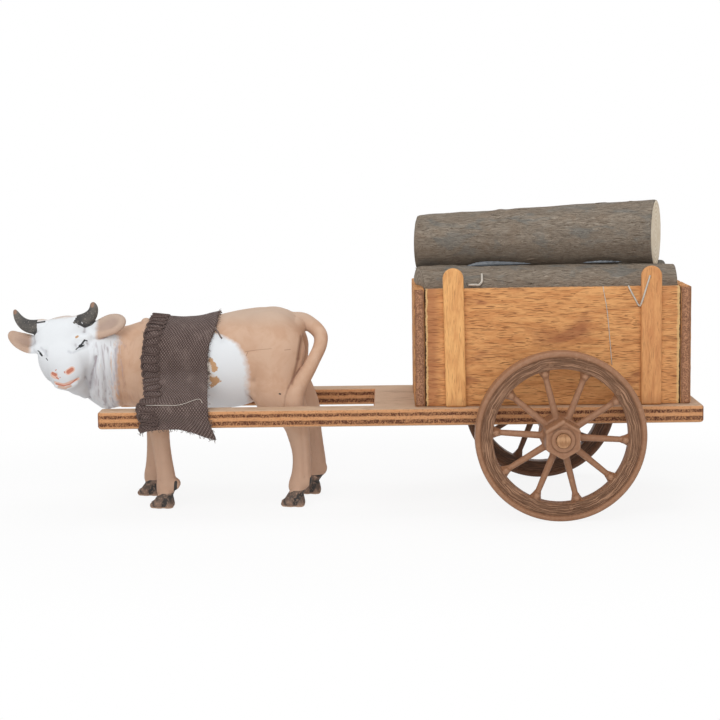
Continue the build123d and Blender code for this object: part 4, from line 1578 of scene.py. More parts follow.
@dataclass
class Repeats:
    """Geometry Nodes trees for the things that repeat."""

    heads: Tree = None
    strands: Tree = None
    flakes: Tree = None

    def build(self) -> "Repeats":
        """Makes every tree once."""
        self.heads = self._nail_heads()
        self.strands = self._strands()
        self.flakes = self._flakes()
        return self

    def _nail_heads(self) -> Tree:
        """Low domed heads evenly round a ring in the XZ plane."""
        tree, graph, given, out = new_tree("ring of nail heads", {"Count": 6, "Ring Radius": 0.02,
                "Head Radius": 0.0008, "Head Height": 0.0004, "Turn": 0.0, "Place": (0, 0, 0),
                "Material": None})
        ring = graph.put("GeometryNodeMeshCircle", {"Vertices": given["Count"],
                "Radius": given["Ring Radius"]})
        dome = graph.put("GeometryNodeMeshUVSphere", {"Segments": 14, "Rings": 7, "Radius": 1.0})
        size = graph.unite(given["Head Radius"], given["Head Radius"], given["Head Height"])
        head = graph.put("GeometryNodeTransform", {"Geometry": dome, "Scale": size})
        spread = graph.put("GeometryNodeInstanceOnPoints", {"Points": ring, "Instance": head})
        turned = graph.put("GeometryNodeTransform", {"Geometry": spread,
                "Rotation": graph.unite(math.pi / 2, given["Turn"], 0.0), "Translation": given["Place"]})
        close_repeat(graph, turned, given["Material"], out)
        return tree

    def _aimed(self, graph: Graph, first: Socket, second: Socket) -> Socket:
        """A rotation whose Z follows the first direction and whose X follows the second."""
        upright = graph.put("FunctionNodeAlignRotationToVector", {"Vector": first}, axis="Z")
        return graph.put("FunctionNodeAlignRotationToVector", {"Vector": second, "Rotation": upright},
                axis="X", pivot_axis="Z")

    def _random(self, graph: Graph, low: object, high: object, seed: object, kind: str) -> Socket:
        """A random number or vector for each point."""
        node = graph.add("FunctionNodeRandomValue", data_type=kind)
        names = [s for s in node.inputs if s.enabled and s.name in ("Min", "Max")]
        graph.feed(names[0], low)
        graph.feed(names[1], high)
        graph.feed(next(s for s in node.inputs if s.enabled and s.name == "Seed"), seed)
        return next(s for s in node.outputs if s.enabled)

    def _scatter(self, graph: Graph, points: Socket, thing: Socket, aimed: Socket, jitter: tuple,
            seed: Socket, sizes: tuple) -> Socket:
        """Copies of a thing on points, turned and sized at random.

        Args:
            graph: The tree's graph.
            points: Where the copies go.
            thing: What is copied.
            aimed: The rotation about which they are turned.
            jitter: Least and greatest turn about each axis.
            seed: Seed of the turns.
            sizes: Least size, greatest size and what is added to the seed for them.

        Returns:
            The copies.
        """
        turn = self._random(graph, *jitter, seed, "FLOAT_VECTOR")
        wobble = graph.put("FunctionNodeEulerToRotation", {0: turn})
        rotated = graph.put("FunctionNodeRotateRotation", {0: aimed, 1: wobble}, rotation_space="LOCAL")
        size = self._random(graph, *sizes[:2], graph.plus(seed, sizes[2]), "FLOAT")
        return graph.put("GeometryNodeInstanceOnPoints", {"Points": points, "Instance": thing,
                "Rotation": rotated, "Scale": size})

    def _strands(self) -> Tree:
        """Curved threads on the base's points: bowed fibres, or closed loops where Closed is 1."""
        tree, graph, given, out = new_tree("threads on an edge", {"Length": 0.002, "Bow": 0.0005,
                "Thread Radius": 0.0001, "Spread": 0.5, "Shortest": 0.5, "Closed": 0.0, "Seed": 1,
                "Material": None})
        length, bow, spread = given["Length"], given["Bow"], given["Spread"]
        loop = graph.put("GeometryNodeCurvePrimitiveQuadrilateral", {"Width": length, "Height": bow})
        rounded_loop = graph.put("GeometryNodeFilletCurve", {"Count": 5, "Curve": loop,
                "Radius": graph.times(bow, 0.42)}, mode="POLY")
        arc = graph.put("GeometryNodeCurveQuadraticBezier", {"Resolution": 6, "Start": (0.0, 0.0, 0.0),
                "Middle": graph.unite(bow, 0.0, graph.times(length, 0.5)),
                "End": graph.unite(0.0, 0.0, length)})
        closed = graph.math("GREATER_THAN", given["Closed"], 0.5)
        chosen = graph.put("GeometryNodeSwitch", {"Switch": closed, "False": arc, "True": rounded_loop},
                input_type="GEOMETRY")
        profile = graph.put("GeometryNodeCurvePrimitiveCircle", {"Resolution": 5,
                "Radius": given["Thread Radius"]})
        thread = graph.put("GeometryNodeCurveToMesh", {"Curve": chosen, "Profile Curve": profile,
                "Fill Caps": True})
        ways = [graph.put("GeometryNodeInputNamedAttribute", {"Name": label}, data_type="FLOAT_VECTOR")
                for label in ("out", "along")]
        jitter = [graph.vector("SCALE", graph.unite(1.0, 1.0, 1.0), amount)
                for amount in (graph.times(spread, -1.0), spread)]
        copies = self._scatter(graph, given["Geometry"], thread, self._aimed(graph, *ways), jitter,
                given["Seed"], (given["Shortest"], 1.0, 7.0))
        close_repeat(graph, copies, given["Material"], out)
        return tree

    def _flakes(self) -> Tree:
        """Small curled scales scattered over the base's faces where its bark value is 1."""
        tree, graph, given, out = new_tree("bark flakes", {"Density": 1000.0, "Flake Length": 0.003,
                "Flake Width": 0.001, "Seed": 1, "Material": None})
        bark = graph.put("GeometryNodeInputNamedAttribute", {"Name": "bark"}, data_type="FLOAT")
        spots = graph.add("GeometryNodeDistributePointsOnFaces")
        graph.feed_all(spots, {"Mesh": given["Geometry"],
                "Selection": graph.math("GREATER_THAN", bark, 0.99),
                "Density": given["Density"], "Seed": given["Seed"]})
        ball = graph.put("GeometryNodeMeshIcoSphere", {"Subdivisions": 2, "Radius": 1.0})
        size = graph.unite(given["Flake Length"], given["Flake Width"], 0.00022)
        flake = graph.put("GeometryNodeTransform", {"Geometry": ball, "Scale": size})
        aimed = self._aimed(graph, spots.outputs["Normal"], graph.unite(1.0, 0.0, 0.0))
        jitter = ((-0.08, -0.12, -0.25), (0.08, 0.12, 0.25))
        copies = self._scatter(graph, spots.outputs["Points"], flake, aimed, jitter, given["Seed"],
                (0.3, 1.0, 3.0))
        close_repeat(graph, copies, given["Material"], out)
        return tree


REPEATS = Repeats()


@dataclass
class Wheel:
    """One moulded ten-spoke wheel with a six-sided nave and a grained rim."""

    part: Part
    side: int
    cell: float = 0.27
    rim_inner: float = 19.0
    rim_outer: float = 23.2
    lip_inner: float = 22.45
    rim_back: float = 30.5
    rim_front: float = 35.1
    lip: float = 0.5
    spokes: int = 10
    spoke_reach: tuple = (4.2, 18.6)
    spoke_r: tuple = (1.02, 0.8)
    socket_reach: tuple = (17.6, 19.5)
    socket_r: tuple = (1.15, 2.05)
    hub_r: float = 5.6
    hub_front: float = 34.2
    nave_r: tuple = (5.7, 5.45)
    ridge_at: float = 5.1
    phase_deg: float = -4.0
    nave_back: float = 25.5
    nave_front: float = 40.9
    bore: float = 2.05
    head_ring: float = 20.2
    head_phase_deg: float = -22.0

    def build_solid(self) -> Solid:
        """Joins rim, lips, spokes, sockets and nave, with Y as the distance from the cart's middle."""
        reach = WHEEL_R + 0.6
        solid = Solid((-reach, 25.0, -reach), (reach, 42.0, reach), self.cell)
        middle = (self.rim_back + self.rim_front) / 2
        solid.add(RingBar(self.rim_inner, self.rim_outer, self.rim_back, self.rim_front, 0.45))
        solid.press((-24, 29, -24), (24, 37, 24), self._rim_relief)
        back, front = self.rim_back - self.lip, self.rim_front + self.lip
        solid.add(RingBar(self.lip_inner, WHEEL_R, back, front, 0.7), 0.1)
        solid.cut(RingBar(22.0, 22.5, self.rim_front - 0.22, self.rim_front + 2, 0.1), 0.15)
        solid.add(RingBar(-1.0, self.hub_r, self.nave_back, self.hub_front, 0.4))
        for number in range(self.spokes):
            angle = math.radians(self.phase_deg + 360 / self.spokes * number)
            ray = np.array([math.cos(angle), 0.0, math.sin(angle)])
            lift = np.array([0.0, 1.0, 0.0])
            root, tip = (ray * out for out in self.spoke_reach)
            root, tip = tuple(root + lift * (middle + 0.8)), tuple(tip + lift * middle)
            solid.add(Limb(root, tip, *self.spoke_r), 0.3)
            inner, outer = (tuple(ray * out + lift * middle) for out in self.socket_reach)
            solid.add(Limb(inner, outer, *self.socket_r), 0.2)
            solid.add(Ball(tuple(ray * 18.1 + lift * (middle + 1.3)), (0.95, 0.9, 0.95)), 0.25)
        solid.add(SixSided(33.0, self.nave_front, *self.nave_r))
        corners = [np.array([math.cos(a) * self.ridge_at, 0, math.sin(a) * self.ridge_at])
                for a in np.radians((150, 90, 30))]
        for first, second, radius in ((corners[0], corners[1], 0.62), (corners[1], corners[2], 0.42)):
            lift = np.array([0, self.nave_front - 0.1, 0])
            solid.add(Limb(tuple(first + lift), tuple(second + lift), radius, radius), 0.2)
        solid.add(RingBar(2.0, 3.2, 40.0, self.nave_front + 0.45, 0.2), 0.3)
        solid.cut(RingBar(3.35, 3.75, self.nave_front - 0.2, 42.5, 0.1), 0.25)
        solid.cut(RingBar(-1.0, self.bore, 20.0, 50.0, 0.05))
        return solid

    def _rim_relief(self, places: Array) -> Array:
        """Wood-like grooves that run round the rim's faces."""
        radius = np.hypot(places[:, 0], places[:, 2])
        around = np.arctan2(places[:, 2], places[:, 0])
        turned = np.stack([np.cos(around) * 9, np.sin(around) * 9, radius * 11.0 + places[:, 1] * 0.4], 1)
        grooves = ripples(turned.astype(np.float32), 9.0, 11, 2)
        on_face = smooth_step(1.7, 2.2, np.abs(places[:, 1] - (self.rim_back + self.rim_front) / 2))
        inside = smooth_step(18.9, 19.5, radius) * smooth_step(22.6, 22.2, radius)
        return (np.maximum(grooves, -0.2) * 0.13 + 0.05) * on_face * inside

    def build(self, finish: PlasticFinish) -> None:
        """Makes, dresses and hands over the wheel.

        Args:
            finish: The plastic's finish.
        """
        name = self.part.value
        wheel = self.build_solid().mesh(f"{name}_body")
        points = places_mm(wheel)
        points[:, 1] *= self.side
        points += (AXLE_X, 0, WHEEL_R)
        wheel.data.vertices.foreach_set("co", (points * MM).ravel())
        if self.side < 0:
            wheel.data.flip_normals()
        wheel.data.update()
        material = finish.build()
        dress(wheel, material)
        finish_piece(wheel, self.part, Slot.PLASTIC, f"wheel_{name.split('_')[0]}")
        base = to_object("head_points", [(0, 0, 0)], [])
        heads = grow(f"{name}_nail_heads", base, REPEATS.heads, Ring_Radius=self.head_ring * MM,
                Turn=-math.radians(self.head_phase_deg), Material=material,
                Place=(AXLE_X * MM, self.side * (self.rim_front - 0.05) * MM, WHEEL_R * MM))
        shade_smooth(heads.data)
        finish_piece(heads, self.part, Slot.PLASTIC)


def lattice_board(name: str, low: tuple, high: tuple, step: float = 0.7, edge: float = 0.3,
        rough: float = 0.04, rough_sides: tuple[str, ...] = (), seed: int = 1) -> Piece:
    """A board with rounded, slightly worn edges.

    Args:
        name: The object's name.
        low: Lowest corner in millimetres.
        high: Highest corner.
        step: Size of the mesh's cells.
        edge: Rounding of the edges.
        rough: Depth of the small unevenness everywhere.
        rough_sides: Sides such as "-y" that are sawn and rougher.
        seed: Seed of the unevenness.

    Returns:
        The board.
    """
    low, high = np.array(low, float), np.array(high, float)
    ticks = []
    for a, b in zip(low, high):
        count = max(int(round((b - a - 2 * edge) / step)), 1)
        inner = np.linspace(a + edge, b - edge, count + 1)
        ticks.append(np.concatenate([[a, a + edge * 0.35], inner, [b - edge * 0.35, b]]))
    points, faces, known = [], [], {}

    def corner(place: tuple) -> int:
        """Number of a place, made where it is new."""
        key = tuple(round(v, 4) for v in place)
        if key not in known:
            known[key] = len(points)
            points.append(place)
        return known[key]

    for axis in range(3):
        first, second = (axis + 1) % 3, (axis + 2) % 3
        for at, flip in ((low[axis], True), (high[axis], False)):
            grid = [[0] * len(ticks[second]) for _ in ticks[first]]
            for i, p in enumerate(ticks[first]):
                for j, q in enumerate(ticks[second]):
                    place = [0.0] * 3
                    place[axis], place[first], place[second] = at, p, q
                    grid[i][j] = corner(tuple(place))
            for i in range(len(ticks[first]) - 1):
                for j in range(len(ticks[second]) - 1):
                    quad = [grid[i][j], grid[i + 1][j], grid[i + 1][j + 1], grid[i][j + 1]]
                    faces.append(quad[::-1] if flip else quad)
    flat = np.array(points)
    inside = np.clip(flat, low + edge, high - edge)
    off = flat - inside
    away = np.linalg.norm(off, axis=1, keepdims=True)
    way = off / np.maximum(away, 1e-6)
    round_points = inside + way * edge
    noise = ripples(flat.astype(np.float32), 3.5, seed, 3)
    fine = ripples(flat.astype(np.float32), 1.1, seed + 5, 2)
    depth = rough * (0.5 + 0.5 * noise)
    for side in rough_sides:
        axis = "xyz".index(side[1])
        sign = 1 if side[0] == "+" else -1
        depth = depth + 0.16 * (0.5 + 0.5 * fine) * (way[:, axis] * sign > 0.5)
    is_edge = (np.abs(off) > edge * 0.3).sum(1) >= 2
    depth = depth + is_edge * 0.10 * (0.5 + 0.5 * fine)
    return to_object(name, round_points - way * depth[:, None], faces)


@dataclass
class Box:
    """The thin-ply box of two long sides between two end boards."""

    wall: float = 3.0

    def build(self) -> None:
        """Makes, dresses and hands over the four boards."""
        side = BoardFinish("box side ply", 0.62, way=GrainWay.ALONG, ends=(21.7, 94.5)).build()
        for name in ("near", "far"):
            low, high = corners_mm(f"box_side_{name}")
            piece = lattice_board(f"box_side_{name}_board", low, high, 0.8, 0.35, 0.05, ("+z",), seed=3)
            dress(piece, side)
            finish_piece(piece, Part.CART, Slot.BOX_WOOD, f"box_side_{name}")
        for name, seed in (("front", 8), ("rear", 15)):
            low, high = corners_mm(f"box_end_{name}")
            finish = BoardFinish(f"box {name} ply", 0.7, way=GrainWay.UPRIGHT, edge_axis=1,
                    ply_middle=float(low[0] + high[0]) / 2, ply_half=self.wall / 2)
            piece = lattice_board(f"box_end_{name}_board", low, high, 0.6, 0.35, 0.05, ("-y", "+y", "+z"),
                    seed)
            dress(piece, finish.build())
            finish_piece(piece, Part.CART, Slot.BOX_WOOD, f"box_end_{name}")


@dataclass
class Stakes:
    """Four round-ended flat sticks that stand on the deck against the box sides."""

    width: float = 6.0
    thickness: float = 1.8
    length: float = 39.8
    front_lean_deg: float = 1.0
    cell: float = 0.3

    def build(self) -> None:
        """Makes, dresses and hands over the four sticks."""
        front = StakeFinish("front stake wood", 0.6).build()
        rear = StakeFinish("rear stake wood", 0.6, light=paint(216, 156, 100),
                mid=paint(196, 132, 82)).build()
        for side_name, side in (("near", -1), ("far", 1)):
            for end_name, lean, material in (("front", self.front_lean_deg, front), ("rear", 0.0, rear)):
                low, high = corners_mm(f"stake_{side_name}_{end_name}")
                foot_x = float(low[0] + high[0]) / 2
                if lean:
                    foot_x = float(high[0]) - self.width / 2 * math.cos(math.radians(lean))
                stick = Stick((foot_x, float(low[2])), float(low[1] + high[1]) / 2, self.width - 0.1,
                        self.length - 0.1, self.thickness - 0.06, lean)
                solid = Solid(tuple(low - 0.9), tuple(high + 0.9), self.cell)
                solid.add(stick)
                piece = solid.mesh(f"stake_{side_name}_{end_name}_stick")
                dress(piece, material)
                finish_piece(piece, Part.CART, Slot.STAKE_WOOD, f"stake_{side_name}_{end_name}")


@dataclass(frozen=True)
class StakeFinish(Finish):
    """Pale golden birch with faint long grain and a darker foot; its greyed rims get no colour of their
    own.
    """

    depth: ClassVar[float] = 0.06
    strength: ClassVar[float] = 0.7
    light: tuple = paint(234, 178, 114)
    mid: tuple = paint(212, 150, 92)
    dark: tuple = paint(150, 100, 62)

    def surface(self, graph: Graph) -> tuple[Socket, Socket]:
        """The colour of the surface and its relief."""
        point = graph.place()
        x, y, z = graph.split(point)
        upright = graph.unite(z, y, x)
        grain = graph.use(SHARED.grain, Point=upright, Figure_Size=1.2, Pore_Length=3.4, Pore_Width=0.2,
                Pore_Level=0.6)
        tone = graph.plus(graph.times(grain["Figure"], 0.6), graph.times(grain["Fibre"], 0.4))
        color = graph.mix(graph.rise(tone, 0.25, 0.75), self.mid, self.light)
        color = graph.mix(graph.times(grain["Pores"], 0.5), color, self.dark)
        # The sticks are darker towards their feet, below 34.5 mm.
        darker_low = graph.rise(z, 34.5, 31.0, 0.0, 0.35)
        color = graph.mix(darker_low, color, self.dark)
        return color, grain["Height"]


@dataclass(frozen=True)
class LogShape:
    """One twig of the load: its axis, radii and character."""

    name: str
    seed: int
    squash: float = 1.0
    bumps: tuple = ()
    front_slant: float = 0.0
    rear_slant: float = 0.0
    front_far: float = 0.0
    rear_near: float = 0.0
    rear_far: float = 0.0
    rear_lift: float = 0.0


@dataclass
class LogLoad:
    """Six twigs, piled in the box."""

    cell: float = 0.55
    bark_depth: float = 0.55
    shapes: tuple = (
        LogShape("low_near", 21),
        LogShape("low_far", 22),
        LogShape("middle", 23),
        LogShape("high_near", 24, rear_slant=-0.25, front_far=-3.0),
        LogShape("high_far", 25, front_slant=-0.2),
        LogShape("top", 26, bumps=((0.70, 1.2, 1.2, 0.7), (0.76, 1.5, 0.9, 0.6), (0.35, 1.5, 1.4, 0.3)),
                 front_far=2.8, rear_near=5.9, rear_far=1.3, rear_lift=0.6),
    )

    def build(self, bark: BarkFinish) -> None:
        """Makes, dresses and hands over the twigs and their loose flakes.

        Args:
            bark: The bark's finish.
        """
        bark_material = bark.build()
        flakes = []
        for shape in self.shapes:
            node = f"log_{shape.name}"
            low, high = corners_mm(node)
            piece, middle = self._twig(shape, low, high)
            cut = CutWoodFinish(f"cut end {shape.name}", 0.8, ring_middle=middle)
            if shape.front_far < 0:
                cut = replace(cut, light=paint(170, 158, 142), dark=paint(124, 112, 98))
            dress(piece, bark_material, cut.build())
            if shape.name in ("top", "high_near", "high_far"):
                copy = bpy.data.objects.new("bark_base", piece.data.copy())
                bpy.context.scene.collection.objects.link(copy)
                flakes.append(grow(f"flakes_{shape.name}", copy, REPEATS.flakes, Density=9000.0,
                        Flake_Length=0.0024, Flake_Width=0.0004, Seed=shape.seed, Material=bark_material))
            finish_piece(piece, Part.CART, Slot.BARK, node)
        scales = join("bark_flakes", flakes)
        shade_smooth(scales.data)
        finish_piece(scales, Part.CART, Slot.BARK)

    def _twig(self, shape: LogShape, low: Array, high: Array) -> tuple[Piece, tuple]:
        """Makes one twig inside its CAD node's box.

        Args:
            shape: The twig's character.
            low: The node's lowest corner.
            high: The node's highest corner.

        Returns:
            The twig, and the middle of its ends as y and z.
        """
        obj = bpy.data.objects[f"log_{shape.name}"]
        raw = places_mm(obj)
        ends = []
        for at in (low[0], high[0]):
            rim = raw[np.abs(raw[:, 0] - at) < 0.01]
            centre = (rim.min(0) + rim.max(0)) / 2
            ends.append((centre[1], centre[2], (rim[:, 2].max() - rim[:, 2].min()) / 2))
        length = high[0] - low[0]
        rows = int(length / self.cell)
        around = int(2 * math.pi * max(e[2] for e in ends) / self.cell)
        t = np.linspace(0, 1, rows + 1)
        angle = np.linspace(0, 2 * math.pi, around, endpoint=False)
        tt, aa = np.meshgrid(t, angle, indexing="ij")
        mid_y = ends[0][0] + (ends[1][0] - ends[0][0]) * tt
        mid_z = ends[0][1] + (ends[1][1] - ends[0][1]) * tt
        mid_z = mid_z + shape.rear_lift * tt
        radius = ends[0][2] + (ends[1][2] - ends[0][2]) * tt + shape.rear_lift * (0.3 + 0.7 * tt)
        x = low[0] + tt * length

        def waves(stretch: float, girth: float, size: float, seed: int, octaves: int) -> Array:
            """Ripples over the bark, read on a bar of this girth."""
            at = np.stack([x.ravel() * stretch, np.cos(aa).ravel() * girth, np.sin(aa).ravel() * girth], 1)
            return ripples(at.astype(np.float32), size, shape.seed + seed, octaves).reshape(tt.shape)

        broad = waves(1.0, 6, 22, 0, 2)
        ridges = waves(0.16, 7, 2.6, 40, 3)
        rough = waves(1.0, 8, 4.5, 80, 3)
        depth = self.bark_depth * (0.42 - 0.26 * broad - 0.13 * ridges - 0.05 * rough)
        for place, way, size, height in shape.bumps:
            turn = np.angle(np.exp(1j * (aa - way))) * radius
            near = ((tt - place) * length / size) ** 2 + (turn / size) ** 2
            depth = depth - height * np.exp(-near)
        radius = radius - np.maximum(depth, 0.02)
        slant = shape.front_slant * (1 - tt) + shape.rear_slant * tt
        fade = np.exp(-((tt - np.round(tt)) * length / 7) ** 2)
        along = x + slant * np.sin(aa) * radius * fade * np.where(tt < 0.5, 1, -1) * 0.5
        along = np.clip(along, low[0], high[0])
        upper = 1.0 if shape.front_far > 0 else smooth_step(-0.1, 0.5, np.sin(aa))
        along = along + fade * np.where(tt < 0.5, shape.front_far * (1 + np.cos(aa)) / 2 * upper,
                shape.rear_far + shape.rear_near * (np.cos(aa) - 1) / 2)
        rounding = np.minimum(tt, 1 - tt) * length
        radius = radius - 0.25 * np.maximum(0, 1 - rounding / 0.9) ** 2
        points = np.stack([along, mid_y + radius * np.cos(aa), mid_z + radius * np.sin(aa)], -1)
        points = points.reshape(-1, 3)
        faces, bark_flags = [], [1.0] * len(points)
        for i in range(rows):
            for j in range(around):
                k = (j + 1) % around
                faces.append([i * around + j, (i + 1) * around + j, (i + 1) * around + k, i * around + k])
        faces = [f[::-1] for f in faces]
        side_faces = len(faces)
        points = points.tolist()
        for row, sign in ((0, -1), (rows, 1)):
            ring = [row * around + j for j in range(around)]
            centre = np.mean([points[n] for n in ring], 0)
            rings = [ring]
            for share in (0.9, 0.7, 0.45, 0.2):
                new = []
                for n in ring:
                    place = centre + (np.array(points[n]) - centre) * share
                    place[0] -= sign * 0.12 * (1 - share) * 0.5
                    new.append(len(points))
                    points.append(place.tolist())
                    bark_flags.append(0.0)
                rings.append(new)
            last = len(points)
            points.append((centre - [sign * 0.06, 0, 0]).tolist())
            bark_flags.append(0.0)
            for first, second in zip(rings, rings[1:]):
                for j in range(around):
                    k = (j + 1) % around
                    quad = [first[j], first[k], second[k], second[j]]
                    faces.append(quad if sign > 0 else quad[::-1])
            for j in range(around):
                k = (j + 1) % around
                tri = [rings[-1][j], rings[-1][k], last]
                faces.append(tri if sign > 0 else tri[::-1])
        piece = to_object(f"log_{shape.name}_twig", np.array(points), faces)
        add_value(piece, "bark", np.array(bark_flags))
        flags = [0] * side_faces + [1] * (len(faces) - side_faces)
        piece.data.polygons.foreach_set("material_index", flags)
        return piece, (ends[1][0], ends[1][1])


@dataclass(frozen=True)
class KnitFinish(Finish):
    """Dark brown knitted cloth: small stitches in rows, from the sheet's own UV in millimetres."""

    depth: ClassVar[float] = 0.25
    strength: ClassVar[float] = 1.0
    sheen: ClassVar[float] = 0.06
    light: tuple = paint(156, 136, 128)
    mid: tuple = paint(122, 103, 97)
    dark: tuple = paint(70, 54, 50)
    column: float = 0.82
    row: float = 1.05

    def surface(self, graph: Graph) -> tuple[Socket, Socket]:
        """The colour of the surface and its relief."""
        uv = graph.add("ShaderNodeUVMap", uv_map="cloth_mm").outputs[0]
        u, v, _ = graph.split(uv)
        sway = graph.noise(uv, 5.0, 2.0)
        u = graph.plus(u, graph.times(sway, 0.8))
        v = graph.plus(v, graph.times(sway, 0.6))
        across = graph.over(u, self.column)
        up = graph.over(v, self.row)
        sides = [graph.size(graph.math("SINE", graph.times(graph.math(way, across, up), math.pi)))
                for way in ("ADD", "SUBTRACT")]
        stitch = graph.times(*sides)
        fuzz = graph.noise(uv, 0.25, 2.0, 0.7, 0.0, 1.8)
        wear = graph.noise(uv, (4.0, 6.0, 4.0), 3.0, 0.6, 0.0, 1.6)
        # Dark between the stitches and light with fuzz on their tops: painted shade and painted highlight
        # on the stitches' relief.
        color = graph.coats(self.dark, (stitch, 0.05, 0.75, 1.0, self.mid))
        color = graph.mix(graph.times(graph.rise(stitch, 0.55, 1.0), fuzz), color, self.light)
        color = graph.coats(color, (wear, 0.5, 0.9, 0.35, self.light), (wear, 0.45, 0.1, 0.4, self.dark))
        relief = graph.plus(stitch, graph.times(fuzz, 0.35))
        return color, relief


def tube(name: str, path: list, radius: float, steps: int = 5) -> Piece:
    """A round strand along a smooth path.

    Args:
        name: The object's name.
        path: Places as x, y and z in millimetres.
        radius: The strand's radius.
        steps: Number of rings for each place on the path.

    Returns:
        The closed strand.
    """
    bars = chain([(*place, radius) for place in path], steps=steps)
    line = np.array([bar.start for bar in bars] + [bars[-1].end])
    way = np.gradient(line, axis=0)
    way /= np.linalg.norm(way, axis=1, keepdims=True)
    side = np.cross(way, (0.31, 0.9, 0.3))
    side /= np.linalg.norm(side, axis=1, keepdims=True)
    up = np.cross(way, side)
    angles = np.linspace(0, 2 * math.pi, 7)[:-1]
    rings = np.stack([line + radius * (math.cos(a) * side + math.sin(a) * up) for a in angles], 1)
    last = len(line) - 1
    faces = [[i * 6 + j, i * 6 + (j + 1) % 6, (i + 1) * 6 + (j + 1) % 6, (i + 1) * 6 + j]
            for i in range(last) for j in range(6)]
    faces += [list(range(5, -1, -1)), [last * 6 + j for j in range(6)]]
    return to_object(name, rings.reshape(-1, 3), faces)


@dataclass(frozen=True)
class ThreadFinish(Finish):
    """Twisted dark thread."""

    depth: ClassVar[float] = 0.05
    strength: ClassVar[float] = 0.6
    color: tuple = paint(92, 78, 73)
    tip: tuple = paint(140, 124, 116)

    def surface(self, graph: Graph) -> tuple[Socket, Socket]:
        """The colour of the surface and its relief."""
        point = graph.place()
        twist = graph.noise(point, 0.3, 2.0, 0.6, 0.0, 2.0)
        color = graph.mix(twist, self.color, self.tip)
        return color, twist


